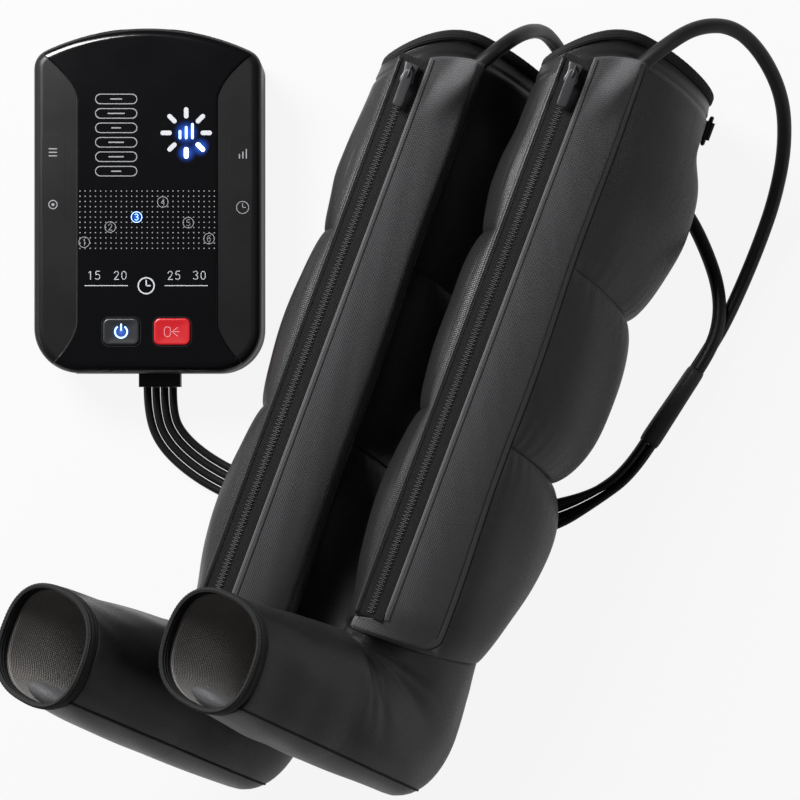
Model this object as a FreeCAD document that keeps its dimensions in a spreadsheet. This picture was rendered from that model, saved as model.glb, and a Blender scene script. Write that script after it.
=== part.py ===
"""Compression therapy pump: a control unit, a pair of leg boots and the hoses between them.

Everything lies on a table (z = 0). The control unit lies on its back. The boots lie on their
calves, leg along +Y, rolled so that the zip faces straight up and the toes point up and left.
"""
import FreeCAD, Part
import math
import os

Vector = FreeCAD.Vector
Rotation = FreeCAD.Rotation
Placement = FreeCAD.Placement

# ---------------------------------------------------------------- driving dimensions, mm
SIZES = [
    # control unit casing
    ("pump_width", 167, "casing, side to side"),
    ("pump_height", 253, "casing, bottom edge to top of the dome"),
    ("pump_thick", 55, "casing, back to face, without feet"),
    ("dome_drop", 20.5, "dome, from its top to the shoulders"),
    ("shoulder_round", 15, "corner between dome and side"),
    ("base_round", 33, "bottom corners"),
    ("casing_wall", 2.6, "both shells"),
    ("split_height", 27, "back shell, back to parting line"),
    ("face_bevel", 5.5, "bevelled rim of the face"),
    ("back_bevel", 5, "bevelled rim of the back"),
    ("foot_height", 3, "rubber feet"),
    ("pad_round", 6.5, "radius of a rubber foot"),
    ("foot_inset", 24, "foot centre from the casing edge"),
    # glossy front panel
    ("lens_inset", 4.5, "panel edge from the casing edge"),
    ("lens_waist", 53, "half the width at the waist"),
    ("lens_thick", 3, "panel"),
    ("lens_proud", 1.2, "panel above the side wings"),
    ("key_width", 17, "touch key strip"),
    ("key_height", 66, "touch key strip"),
    ("key_thick", 1.2, "touch key strip"),
    ("key_centre_x", 68.4, "touch key strip from the middle line"),
    ("key_centre_y", 15, "touch key strip above the centre"),
    # buttons
    ("button_width", 26.8, "cap"),
    ("button_height", 19.8, "cap"),
    ("button_round", 4.6, "cap corners"),
    ("button_thick", 6.4, "cap"),
    ("button_proud", 1.6, "cap above the panel"),
    ("button_travel", 1.2, "press"),
    ("button_offset", 18.6, "cap centre from the middle line"),
    ("button_drop", 96.4, "cap centre below the casing centre"),
    ("bezel_rim", 1.3, "trim round each cap"),
    ("running_gap", 0.3, "between moving and fixed parts"),
    # inside the casing
    ("board_thick", 1.6, "both circuit boards"),
    ("display_board_width", 88, "display board"),
    ("display_board_height", 196, "display board"),
    ("window_width", 74, "opening behind the panel for the display"),
    ("display_board_depth", 7.4, "face of the board below the casing face"),
    ("main_board_width", 64, "main board"),
    ("main_board_height", 88, "main board"),
    ("main_board_level", 11, "main board above the casing floor"),
    ("switch_side", 7, "tactile switch"),
    ("motor_radius", 15, "air pump motor"),
    ("motor_length", 56, "air pump motor"),
    ("head_width", 42, "air pump head"),
    ("head_length", 34, "air pump head"),
    ("head_height", 34, "air pump head"),
    ("mount_thick", 8, "rubber motor saddle"),
    ("battery_width", 54, "battery pack"),
    ("battery_height", 68, "battery pack"),
    ("battery_thick", 19, "battery pack"),
    ("manifold_width", 96, "valve manifold"),
    ("manifold_depth", 16, "valve manifold"),
    ("manifold_height", 12, "valve manifold"),
    ("valve_side", 14, "solenoid valve"),
    ("valve_height", 20, "solenoid valve"),
    ("valve_pitch", 21, "between solenoid valves"),
    ("port_width", 36, "outlet port in the bottom wall"),
    ("port_height", 16, "outlet port in the bottom wall"),
    ("port_depth", 14, "outlet port, inside to outside"),
    ("port_offset", 5, "outlet port from the middle line"),
    ("port_level", 14, "outlet port centre above the table"),
    ("plug_width", 31, "plug on the supply tubes"),
    ("plug_height", 11, "plug on the supply tubes"),
    ("plug_length", 10, "plug on the supply tubes"),
    ("jack_radius", 5.5, "charging socket"),
    ("jack_length", 12, "charging socket"),
    ("jack_offset", 52, "charging socket from the middle line"),
    ("jack_level", 18, "charging socket centre above the table"),
    ("screw_radius", 3, "casing screw head"),
    ("screw_length", 18, "casing screw"),
    # leg boots: semi-axes of the oval sections along the toe direction (a)
    ("roll_angle", 50, "toe direction above the table, degrees"),
    ("leg_flatness", 0.45, "semi-axis across over semi-axis along the toe direction"),
    ("leg_wall", 7, "padded wall of the boot"),
    ("ankle_level", 110, "ankle crease above the sole"),
    ("ankle_a", 69, "ankle crease"),
    ("lower_level", 186, "lower chamber, fullest part"),
    ("lower_a", 88, "lower chamber"),
    ("calf_level", 261, "crease below the calf"),
    ("calf_a", 74, "crease below the calf"),
    ("middle_level", 325, "middle chamber, fullest part"),
    ("middle_a", 97, "middle chamber"),
    ("knee_level", 390, "crease below the knee"),
    ("knee_a", 82, "crease below the knee"),
    ("upper_level", 462, "upper chamber, fullest part"),
    ("upper_a", 101, "upper chamber"),
    ("neck_level", 528, "start of the cuff band"),
    ("rim_level", 558, "end of the cuff band"),
    ("rim_a", 86, "cuff band"),
    ("rim_fall_toe", 37, "cuff at its toe-side edge below its crest"),
    ("rim_fall_calf", 6, "cuff at its calf-side edge below its crest"),
    ("shoulder_step", 26, "from a crease to the shoulder of a chamber"),
    ("shoulder_slack", 6, "shoulder semi-axes below the fullest ones"),
    ("tube_room", 7.4, "under the lower chamber, for the supply tubes"),
    ("foot_width", 84, "foot, across"),
    ("foot_heel", 74, "heel behind the leg axis"),
    ("foot_toe", 195, "toe opening in front of the leg axis"),
    ("heel_height", 104, "heel, sole to its top"),
    ("toe_lift", 31, "sole at the toe above the sole at the heel"),
    ("toe_opening", 83, "toe opening, sole to instep"),
    ("foot_round", 26, "rounding of the foot at the heel"),
    ("foot_wall", 8, "padded wall of the foot"),
    ("foot_axis_level", 73.05, "leg axis above the table at the foot"),
    ("insole_thick", 6, "insole"),
    ("insole_width", 38, "insole"),
    ("insole_lift", 4.4, "insole above the inside of the sole"),
    ("binding_deep", 9, "elastic binding, along the opening"),
    ("binding_proud", 1.1, "elastic binding beyond the wall"),
    ("tape_width", 20, "zip tape"),
    ("tape_thick", 1.4, "zip tape"),
    ("coil_width", 5.6, "zip coil"),
    ("coil_thick", 1.8, "zip coil"),
    ("zip_start", 130, "lower end of the zip above the sole"),
    ("zip_end", 530, "upper end of the zip above the sole"),
    ("slider_width", 11, "zip slider"),
    ("slider_length", 14, "zip slider"),
    ("slider_height", 4.8, "zip slider"),
    ("pull_width", 7, "zip pull"),
    ("pull_length", 24, "zip pull"),
    ("pull_thick", 1.6, "zip pull"),
    ("pin_radius", 0.9, "pin that carries the zip pull"),
    ("pin_level", 7.2, "pin above the tape"),
    ("pull_droop", 8, "zip pull at rest, degrees below the zip line"),
    ("flap_thick", 3, "wind flap beside the zip"),
    ("flap_start", 146, "lower edge of the flap above the sole"),
    ("flap_end", 528, "upper edge of the flap above the sole"),
    ("flap_left", 11.5, "flap edge from the zip line"),
    ("flap_right", 52, "flap edge from the zip line"),
    ("gland_radius", 6.6, "hose gland"),
    ("gland_length", 10, "hose gland"),
    ("gland_yaw", 30, "gland, turned outwards from the leg, degrees"),
    ("gland_turn", 52.8, "gland round the cuff, degrees from the toe direction"),
    ("tab_reach", 8, "webbing tab of the D-ring"),
    ("tab_width", 13, "webbing tab of the D-ring"),
    ("tab_thick", 6, "webbing tab of the D-ring"),
    ("ring_radius", 10, "D-ring, centre of the wire"),
    ("ring_wire", 1.5, "D-ring, radius of the wire"),
    ("ring_level", 534, "D-ring centre above the sole"),
    # hoses
    ("tube_outer", 6, "supply tube"),
    ("tube_pitch", 6.4, "between supply tubes side by side"),
    ("hose_outer", 10.4, "boot hose"),
    ("sleeve_wall", 1.2, "junction sleeve"),
    # where things lie
    ("pump_x", -132.73, "control unit centre"),
    ("pump_y", 78.05, "control unit centre"),
    ("pump_turn", 20.5, "control unit, anticlockwise, degrees"),
    ("right_x", 123.67, "zip line of the right boot"),
    ("right_y", -265.15, "sole of the right boot"),
    ("right_z", 12, "right boot above the table, on the hoses"),
    ("left_x", 19.67, "zip line of the left boot"),
    ("left_y", -302.15, "sole of the left boot"),
]

doc = FreeCAD.newDocument("compression_therapy_pump")
sheet = doc.addObject("Spreadsheet::Sheet", "Sizes")
for row, (alias, value, note) in enumerate(SIZES, start=1):
    sheet.set(f"A{row}", alias)
    sheet.set(f"B{row}", str(value))
    sheet.setAlias(f"B{row}", alias)
    sheet.set(f"C{row}", note)
doc.recompute()


class Size:
    """Reads the sheet: size.pump_width is the number in that cell."""

    def __getattr__(self, alias):
        return float(getattr(sheet, alias))


size = Size()
parts = {}


# ---------------------------------------------------------------- helpers
def bind(obj, **rules):
    """Binds properties to expressions written with the sheet's aliases."""
    for prop, rule in rules.items():
        obj.setExpression(prop, rule)
    return obj


def feature(kind, name, place=None, **rules):
    """A document object of a Part type with its sizes bound to the sheet."""
    obj = bind(doc.addObject(kind, name), **rules)
    if place is not None:
        obj.Placement = place
    return obj


def at(x, y, z, rotation=None):
    return Placement(Vector(x, y, z), rotation or Rotation())


def box(name, corner, turn=None, **rules):
    """A box with its lowest corner at `corner`."""
    return feature("Part::Box", name, Placement(corner, turn or Rotation()), **rules)


def cylinder(name, start, axis, **rules):
    return feature("Part::Cylinder", name, Placement(start, Rotation(Vector(0, 0, 1), axis)), **rules)


def cut(name, base, tool):
    obj = doc.addObject("Part::Cut", name)
    obj.Base, obj.Tool = base, tool
    return obj


def fuse(name, *shapes):
    obj = doc.addObject("Part::MultiFuse", name)
    obj.Shapes = list(shapes)
    return obj


def common(name, *shapes):
    obj = doc.addObject("Part::MultiCommon", name)
    obj.Shapes = list(shapes)
    return obj


def solid(name, shape):
    """A piece whose shape comes from Part's own functions."""
    obj = doc.addObject("Part::Feature", name)
    obj.Shape = shape
    return obj


def node(label, obj, place=None):
    """Registers a finished piece under the name of its node."""
    obj.Label = label
    if place is not None:
        obj.Placement = place
    parts[label] = obj
    return obj


def sketch(body, name, geometry, role="XY_Plane", lift=0.0):
    """A sketch on one of the body's own origin planes, lifted along the plane's normal."""
    sk = body.newObject("Sketcher::SketchObject", name)
    plane = next(f for f in body.Origin.OriginFeatures if f.Role == role)
    sk.AttachmentSupport = [(plane, "")]
    sk.MapMode = "FlatFace"
    sk.AttachmentOffset = at(0, 0, lift)
    for edge in geometry:
        sk.addGeometry(edge, False)
    return sk


def pad(body, name, profile, length, midplane=False):
    """A pad whose length is bound to a rule of the sheet."""
    obj = body.newObject("PartDesign::Pad", name)
    obj.Profile = profile
    obj.Midplane = midplane
    obj.setExpression("Length", length)
    body.Tip = obj
    doc.recompute()
    return obj


def pocket(body, name, profile, length, reverse=False):
    obj = body.newObject("PartDesign::Pocket", name)
    obj.Profile = profile
    obj.Reversed = reverse
    obj.setExpression("Length", length)
    body.Tip = obj
    doc.recompute()
    return obj


def chamfer(body, name, base, picks, depth):
    """Breaks the edges of `base` that the test `picks` accepts."""
    edges = [f"Edge{i}" for i, e in enumerate(base.Shape.Edges, start=1) if picks(e)]
    obj = body.newObject("PartDesign::Chamfer", name)
    obj.Base = (base, edges)
    obj.setExpression("Size", depth)
    body.Tip = obj
    doc.recompute()
    return obj


def level_edges(z):
    """Accepts edges that lie flat at the height z."""
    return lambda e: max(abs(e.BoundBox.ZMin - z), abs(e.BoundBox.ZMax - z)) < 0.01


def chain(*points):
    """Straight edges through the points; a tuple of three points is an arc through them."""
    edges = []
    for item in points:
        if len(item) == 3:
            edges.append(Part.Arc(*[Vector(x, y, 0) for x, y in item]))
        else:
            edges.append(Part.LineSegment(*[Vector(x, y, 0) for x, y in item]))
    return edges


def corner_arc(centre, radius, start, end):
    """The three points of an arc about `centre` between two angles in degrees."""
    turn = [math.radians(d) for d in (start, (start + end) / 2, end)]
    return tuple((centre[0] + radius * math.cos(r), centre[1] + radius * math.sin(r)) for r in turn)


def rounded_rectangle(centre, width, height, radius):
    """Sketch geometry of a rectangle with rounded corners."""
    cx, cy = centre
    u, v = width / 2 - radius, height / 2 - radius
    arcs = [corner_arc((cx + sx * u, cy + sy * v), radius, a, a + 90)
            for sx, sy, a in ((1, 1, 0), (-1, 1, 90), (-1, -1, 180), (1, -1, 270))]
    items = []
    for this, following in zip(arcs, arcs[1:] + arcs[:1]):
        items += [this, (this[2], following[0])]
    return chain(*items)


# ---------------------------------------------------------------- control unit
PUMP = at(size.pump_x, size.pump_y, 0, Rotation(Vector(0, 0, 1), size.pump_turn))
BACK = size.foot_height
FACE = BACK + size.pump_thick
FLOOR = BACK + size.casing_wall
PARTING = BACK + size.split_height
BOARD_POST_X = size.display_board_width / 2 - 3.2
BOARD_POST_Y = (size.display_board_height / 2 - 34, -20, -size.display_board_height / 2 + 22)


def casing_outline(inset):
    """The casing seen from the front: wide dome, straight sides, rounded bottom corners."""
    half = size.pump_width / 2 - inset
    top = size.pump_height / 2 - inset
    bottom = -size.pump_height / 2 + inset
    chord = size.pump_width / 2
    dome = (chord ** 2 + size.dome_drop ** 2) / (2 * size.dome_drop) - inset
    dome_centre = top - dome
    corner = size.shoulder_round - inset / 2
    # the shoulder arc touches the side (a vertical line) and the dome from inside
    corner_x = half - corner
    corner_y = dome_centre + math.sqrt((dome - corner) ** 2 - corner_x ** 2)
    meet = math.degrees(math.atan2(corner_y - dome_centre, corner_x))
    base = size.base_round - inset
    right = corner_arc((corner_x, corner_y), corner, 0, meet)
    left = corner_arc((-corner_x, corner_y), corner, 180 - meet, 180)
    base_left = corner_arc((-half + base, bottom + base), base, 180, 270)
    base_right = corner_arc((half - base, bottom + base), base, 270, 360)
    return chain(right, (right[2], (0, top), left[0]), left, (left[2], base_left[0]), base_left,
                 (base_left[2], base_right[0]), base_right, (base_right[2], right[0]))


def lens_outline(inset):
    """The hourglass front panel: as wide as the dome at the top, waisted, flared at the foot."""
    waist = size.lens_waist - inset
    edge = size.lens_inset + inset
    top = size.pump_height / 2 - edge
    half_top = size.pump_width / 2 - size.shoulder_round + 5 - edge
    drop = size.dome_drop * (half_top / (size.pump_width / 2)) ** 2
    bottom = -size.pump_height / 2 + edge
    half_foot = size.pump_width / 2 - size.base_round / 2 - edge
    shoulder = (half_top, top - drop)
    waist_top = (waist, size.pump_height / 2 - 54)
    waist_foot = (waist, -size.pump_height / 2 + 38)
    foot = (half_foot, bottom + 6)
    neck = (waist + (half_top - waist) * 0.22, waist_top[1] + (shoulder[1] - waist_top[1]) * 0.52)
    flare = (waist + (half_foot - waist) * 0.24, waist_foot[1] + (foot[1] - waist_foot[1]) * 0.52)

    def mirror(point):
        return (-point[0], point[1])

    return chain((shoulder, (0, top), mirror(shoulder)),
                 (mirror(shoulder), mirror(neck), mirror(waist_top)),
                 (mirror(waist_top), mirror(waist_foot)),
                 (mirror(waist_foot), mirror(flare), mirror(foot)),
                 (mirror(foot), (0, bottom), foot),
                 (foot, flare, waist_foot),
                 (waist_foot, waist_top),
                 (waist_top, neck, shoulder))


def button_centres():
    return {"power": (-size.button_offset, -size.button_drop),
            "release": (size.button_offset, -size.button_drop)}


def foot_centres():
    """Rubber feet near the corners of the back, with a casing screw above each."""
    x = size.pump_width / 2 - size.foot_inset
    y = size.pump_height / 2 - size.foot_inset - size.dome_drop / 2
    return [(x, y), (-x, y), (-x, -y), (x, -y)]


def build_back_shell():
    body = doc.addObject("PartDesign::Body", "BackShell")
    block = pad(body, "BackBlock", sketch(body, "BackOutline", casing_outline(0), lift=BACK),
                "Sizes.split_height")
    chamfer(body, "BackBevel", block, level_edges(BACK), "Sizes.back_bevel")
    inner = sketch(body, "BackInside", casing_outline(size.casing_wall), lift=PARTING)
    pocket(body, "BackCavity", inner, "Sizes.split_height - Sizes.casing_wall")
    posts = [Part.Circle(Vector(x, y, 0), Vector(0, 0, 1), size.screw_radius + 1.6)
             for x, y in foot_centres()]
    pad(body, "ScrewPosts", sketch(body, "PostCircles", posts, lift=FLOOR - 0.5),
        "Sizes.split_height - Sizes.casing_wall")
    bores = [Part.Circle(Vector(x, y, 0), Vector(0, 0, 1), size.screw_radius)
             for x, y in foot_centres()]
    pocket(body, "ScrewBores", sketch(body, "BoreCircles", bores, lift=BACK),
           "Sizes.split_height + 2", reverse=True)
    return body


def build_port_cutter():
    """The openings of the bottom wall for the outlet port and the charging socket."""
    bottom = -size.pump_height / 2
    window = box("PortWindow", Vector(size.port_offset - size.port_width / 2, bottom - 5,
                                      size.port_level - size.port_height / 2),
                 Length="Sizes.port_width", Width="Sizes.port_depth + 5",
                 Height="Sizes.port_height")
    jack = cylinder("JackBore", Vector(-size.jack_offset, bottom - 5, size.jack_level),
                    Vector(0, 1, 0), Radius="Sizes.jack_radius", Height="Sizes.jack_length + 5")
    return fuse("WallOpenings", window, jack)


def build_front_shell():
    body = doc.addObject("PartDesign::Body", "FrontShell")
    block = pad(body, "FrontBlock", sketch(body, "FrontOutline", casing_outline(0), lift=PARTING),
                "Sizes.pump_thick - Sizes.split_height")
    chamfer(body, "FrontBevel", block, level_edges(FACE), "Sizes.face_bevel")
    inner = sketch(body, "FrontInside", casing_outline(size.casing_wall + 2.2), lift=PARTING)
    pocket(body, "FrontCavity", inner, "Sizes.pump_thick - Sizes.split_height - Sizes.casing_wall - 2",
           reverse=True)
    seat = sketch(body, "LensSeat", lens_outline(0), lift=FACE)
    pocket(body, "LensRecess", seat, "Sizes.lens_thick - Sizes.lens_proud")
    for side in (-1, 1):
        key = rounded_rectangle((side * size.key_centre_x, size.key_centre_y),
                                size.key_width, size.key_height, 4)
        pocket(body, "KeyRecess", sketch(body, "KeySeat", key, lift=FACE), "Sizes.key_thick")
    window = rounded_rectangle((0, 8), size.window_width, size.pump_height - 92, 4)
    pocket(body, "DisplayWindow", sketch(body, "DisplayOpening", window, lift=FACE),
           "Sizes.pump_thick - Sizes.split_height")
    posts = [Part.Circle(Vector(x, y, 0), Vector(0, 0, 1), 2.2)
             for x in (-BOARD_POST_X, BOARD_POST_X) for y in BOARD_POST_Y]
    pad(body, "BoardPosts", sketch(body, "PostOutlines", posts,
                                          lift=FACE - size.display_board_depth),
               "Sizes.display_board_depth - Sizes.casing_wall - 1.8")
    for centre in button_centres().values():
        hole = rounded_rectangle(centre, size.button_width + 2 * size.running_gap,
                                 size.button_height + 2 * size.running_gap, size.button_round)
        pocket(body, "ButtonHole", sketch(body, "ButtonOpening", hole, lift=FACE),
               "Sizes.pump_thick - Sizes.split_height")
    return body


def build_lens():
    """The glossy panel, with an opening for each button bezel."""
    body = doc.addObject("PartDesign::Body", "Lens")
    base = FACE - size.lens_thick + size.lens_proud
    block = pad(body, "LensPlate", sketch(body, "LensOutline", lens_outline(0.15), lift=base),
                "Sizes.lens_thick")
    for centre in button_centres().values():
        hole = rounded_rectangle(centre, size.button_width + 2 * size.bezel_rim,
                                 size.button_height + 2 * size.bezel_rim,
                                 size.button_round + size.bezel_rim)
        pocket(body, "BezelHole", sketch(body, "BezelOpening", hole, lift=base + size.lens_thick),
               "Sizes.lens_thick")
    return body


def build_bezels():
    """One thin raised frame round each button, both in one node."""
    rings = []
    base = FACE - size.lens_thick + size.lens_proud
    for name, centre in button_centres().items():
        body = doc.addObject("PartDesign::Body", f"Bezel_{name}")
        outer = rounded_rectangle(centre, size.button_width + 2 * size.bezel_rim - 0.1,
                                  size.button_height + 2 * size.bezel_rim - 0.1,
                                  size.button_round + size.bezel_rim)
        inner = rounded_rectangle(centre, size.button_width + 2 * size.running_gap,
                                  size.button_height + 2 * size.running_gap, size.button_round)
        pad(body, f"Frame_{name}", sketch(body, f"FrameOutline_{name}", outer + inner, lift=base),
            "Sizes.lens_thick + 0.5")
        rings.append(body)
    return fuse("ButtonBezels", *rings)


def build_button(name, centre):
    """A cap with a softly rounded rim, on its switch."""
    body = doc.addObject("PartDesign::Body", f"Button_{name}")
    top = FACE + size.lens_proud + size.button_proud
    profile = rounded_rectangle(centre, size.button_width, size.button_height, size.button_round)
    block = pad(body, f"Cap_{name}", sketch(body, f"CapOutline_{name}", profile,
                                            lift=top - size.button_thick), "Sizes.button_thick")
    chamfer(body, f"CapBevel_{name}", block, level_edges(top), "Sizes.button_proud / 2")
    return body


def build_keys(side):
    body = doc.addObject("PartDesign::Body", "Key")
    profile = rounded_rectangle((side * size.key_centre_x, size.key_centre_y),
                                size.key_width - 0.3, size.key_height - 0.3, 3.85)
    pad(body, "KeyStrip", sketch(body, "KeyOutline", profile, lift=FACE - size.key_thick),
        "Sizes.key_thick")
    return body


def build_pump_electronics():
    """Display board with its two switches, and the main board on posts."""
    board_top = FACE - size.display_board_depth
    display = box("DisplayBoard", Vector(-size.display_board_width / 2,
                                         -size.display_board_height / 2 - 8,
                                         board_top - size.board_thick),
                  Length="Sizes.display_board_width", Width="Sizes.display_board_height",
                  Height="Sizes.board_thick")
    node("display_board", display, PUMP.multiply(display.Placement))
    cap_base = FACE + size.lens_proud + size.button_proud - size.button_thick
    stems = []
    for name, (x, y) in button_centres().items():
        case = box(f"SwitchCase_{name}", Vector(x - size.switch_side / 2, y - size.switch_side / 2,
                                               board_top),
                   Length="Sizes.switch_side", Width="Sizes.switch_side")
        case.Height = cap_base - size.button_travel - size.running_gap - board_top
        stems.append(case)
    node("button_switches", fuse("ButtonSwitches", *stems), PUMP)
    x, y = -30, 31
    left, low = x - size.main_board_width / 2, y - size.main_board_height / 2
    board = box("MainBoardPlate", Vector(left, low, FLOOR + size.main_board_level),
                Length="Sizes.main_board_width", Width="Sizes.main_board_height",
                Height="Sizes.board_thick")
    feet = []
    for i, (px, py) in enumerate([(0.08, 0.06), (0.92, 0.06), (0.92, 0.94), (0.08, 0.94)]):
        feet.append(cylinder(f"BoardPost{i}", Vector(left + px * size.main_board_width,
                                                    low + py * size.main_board_height, FLOOR),
                             Vector(0, 0, 1), Radius="Sizes.screw_radius",
                             Height="Sizes.main_board_level"))
    node("main_board", fuse("MainBoard", board, *feet), PUMP)


def build_air_pump():
    """Motor, head and the two rubber saddles that the motor lies in."""
    axis_x, start_y = 44, -28
    axis_z = FLOOR + size.motor_radius + 3
    motor = cylinder("Motor", Vector(axis_x, start_y, axis_z), Vector(0, 1, 0),
                     Radius="Sizes.motor_radius", Height="Sizes.motor_length")
    boss = cylinder("MotorBoss", Vector(axis_x, start_y - 3, axis_z), Vector(0, 1, 0),
                    Radius="Sizes.motor_radius / 3", Height="3")
    node("air_pump_motor", fuse("AirPumpMotor", motor, boss), PUMP)
    head_y = start_y + size.motor_length
    block = box("HeadBlock", Vector(axis_x - size.head_width / 2, head_y, FLOOR + 0.5),
                Length="Sizes.head_width", Width="Sizes.head_length", Height="Sizes.head_height")
    nozzle = cylinder("HeadNozzle", Vector(axis_x, head_y + size.head_length, axis_z),
                      Vector(0, 1, 0), Radius="3.4", Height="9")
    node("air_pump_head", fuse("AirPumpHead", block, nozzle), PUMP)
    saddles = []
    for i, share in enumerate((0.2, 0.75)):
        y = start_y + share * size.motor_length - size.mount_thick / 2
        base = box(f"SaddleBlock{i}", Vector(axis_x - size.motor_radius - 3, y, FLOOR),
                   Length="2 * Sizes.motor_radius + 6", Width="Sizes.mount_thick",
                   Height="Sizes.motor_radius")
        bore = cylinder(f"SaddleBore{i}", Vector(axis_x, y - 1, axis_z), Vector(0, 1, 0),
                        Radius="Sizes.motor_radius + 0.1", Height="Sizes.mount_thick + 2")
        saddles.append(cut(f"Saddle{i}", base, bore))
    node("motor_mounts", fuse("MotorMounts", *saddles), PUMP)


def build_air_path():
    """Valve manifold with four solenoid valves, outlet port, tube plug and charging socket."""
    bottom = -size.pump_height / 2
    back_y = bottom + size.port_depth
    manifold = box("Manifold", Vector(size.port_offset - size.manifold_width / 2, back_y,
                                      size.port_level - size.manifold_height / 2),
                   Length="Sizes.manifold_width", Width="Sizes.manifold_depth",
                   Height="Sizes.manifold_height")
    node("valve_manifold", manifold, PUMP.multiply(manifold.Placement))
    valves = []
    for i in range(4):
        x = size.port_offset + (i - 1.5) * size.valve_pitch
        side = size.valve_side
        valves.append(box(f"Valve{i}", Vector(x - side / 2, back_y + (size.manifold_depth - side) / 2,
                                              size.port_level + size.manifold_height / 2),
                          Length="Sizes.valve_side", Width="Sizes.valve_side",
                          Height="Sizes.valve_height"))
    node("solenoid_valves", fuse("SolenoidValves", *valves), PUMP)
    block = box("PortBlock", Vector(size.port_offset - size.port_width / 2 + 0.1, bottom,
                                    size.port_level - size.port_height / 2 + 0.1),
                Length="Sizes.port_width - 0.2", Width="Sizes.port_depth",
                Height="Sizes.port_height - 0.2")
    node("outlet_port", block, PUMP.multiply(block.Placement))
    plug = box("PlugBlock", Vector(size.port_offset - size.plug_width / 2, bottom - size.plug_length,
                                   size.port_level - size.plug_height / 2),
               Length="Sizes.plug_width", Width="Sizes.plug_length", Height="Sizes.plug_height")
    node("tube_plug", plug, PUMP.multiply(plug.Placement))
    jack = cylinder("JackBarrel", Vector(-size.jack_offset, bottom, size.jack_level),
                    Vector(0, 1, 0), Radius="Sizes.jack_radius - 0.1", Height="Sizes.jack_length")
    hole = cylinder("JackHole", Vector(-size.jack_offset, bottom - 1, size.jack_level),
                    Vector(0, 1, 0), Radius="Sizes.jack_radius * 0.5",
                    Height="Sizes.jack_length - 1")
    node("charging_socket", cut("ChargingSocket", jack, hole), PUMP)


def build_pump():
    openings = build_port_cutter()
    node("pump_back_shell", cut("BackShellOpen", build_back_shell(), openings), PUMP)
    node("pump_front_shell", build_front_shell(), PUMP)
    node("display_panel", build_lens(), PUMP)
    node("left_touch_keys", build_keys(-1), PUMP)
    node("right_touch_keys", build_keys(1), PUMP)
    node("button_bezels", build_bezels(), PUMP)
    for name, centre in button_centres().items():
        node(f"{name}_button", build_button(name, centre), PUMP)
    build_pump_electronics()
    build_air_pump()
    build_air_path()
    pack = feature("Part::Box", "BatteryBlock", at(-52, -84, FLOOR), Length="Sizes.battery_width",
                   Width="Sizes.battery_height", Height="Sizes.battery_thick")
    node("battery_pack", pack, PUMP.multiply(pack.Placement))
    screws = []
    feet = []
    for i, (x, y) in enumerate(foot_centres()):
        screws.append(cylinder(f"Screw{i}", Vector(x, y, BACK + 1), Vector(0, 0, 1),
                               Radius="Sizes.screw_radius - 0.2", Height="Sizes.screw_length"))
        feet.append(feature("Part::Cone", f"Foot{i}", at(x, y, 0), Radius1="Sizes.pad_round - 1",
                            Radius2="Sizes.pad_round", Height="Sizes.foot_height"))
    node("casing_screws", fuse("CasingScrews", *screws), PUMP)
    node("rubber_feet", fuse("RubberFeet", *feet), PUMP)


# ---------------------------------------------------------------- leg boots
ROLL = math.radians(size.roll_angle)
TOE = Vector(-math.cos(ROLL), 0, math.sin(ROLL))
ACROSS = Vector(math.sin(ROLL), 0, math.cos(ROLL))
UP = Vector(0, 1, 0)
OUT = Vector(math.sin(math.radians(size.gland_yaw)), math.cos(math.radians(size.gland_yaw)), 0)
OVAL_TURN = Rotation(TOE, ACROSS, UP, "XYZ")
FOOT_TURN = Rotation(TOE, UP, -ACROSS, "XYZ")


def half_height(a, b):
    """Half the height of a rolled oval."""
    return math.hypot(a * math.sin(ROLL), b * math.cos(ROLL))


def half_width(a, b):
    """Half the width of a rolled oval, seen from above."""
    return math.hypot(a * math.cos(ROLL), b * math.sin(ROLL))


def under_zip(a, b):
    """Centre of a rolled oval from its highest point, along x."""
    return (a * a - b * b) * math.sin(ROLL) * math.cos(ROLL) / half_height(a, b)


def resting(a, b, room=0.0):
    """Centre (x, z) of an oval whose crest is on the zip line and whose belly is `room` up."""
    return under_zip(a, b), half_height(a, b) + room


class Oval:
    """One section of the leg: its level above the sole, semi-axes and centre."""

    def __init__(self, name, centre=None, room=0.0):
        self.level, self.a = getattr(size, f"{name}_level"), getattr(size, f"{name}_a")
        self.b = self.a * size.leg_flatness
        self.centre = centre or resting(self.a, self.b, room)

    def place(self, level=None):
        y = self.level if level is None else level
        return Placement(Vector(self.centre[0], y, self.centre[1]), OVAL_TURN)


OVALS = {
    "ankle": Oval("ankle", (38, size.foot_axis_level)),
    "lower": Oval("lower", room=size.tube_room),
    "calf": Oval("calf", (42.5, 88)),
    "middle": Oval("middle"),
    "knee": Oval("knee", (46, 90)),
    "upper": Oval("upper"),
    "rim": Oval("rim", (42, 92)),
}
ZIP_TOP = OVALS["upper"].centre[1] + half_height(OVALS["upper"].a, OVALS["upper"].b)
ZIP_LOW = OVALS["lower"].centre[1] + half_height(OVALS["lower"].a, OVALS["lower"].b)
ZIP_SLOPE = (ZIP_TOP - ZIP_LOW) / (size.upper_level - size.lower_level)
ZIP_TILT = Rotation(Vector(1, 0, 0), math.degrees(math.atan(ZIP_SLOPE)))
ZIP_SEAT = 0.25
FLAP_EASE = 0.8
OVAL_SIDES = 26
FOOT_SIDES = 24
FLAT_ENOUGH = 1e-6
RING_STEPS = 8
RING_SIDES = 6
SHOULDER_SHARE = 0.72
FOOT_POWER = 3.0
BINDING_SEAT = 0.8
TAB_MARGIN = 2
GLAND_SEAT = 0.6
GLAND_STEP = 0.4
COIL_SEAT = 0.01
COIL_MARGIN = 2
SLIDER_STOP = 5
LUG_THICK = 1.6
LUG_DEEP = 4
LUG_CAP = 2.6
PIN_RISE = 0.4
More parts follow.
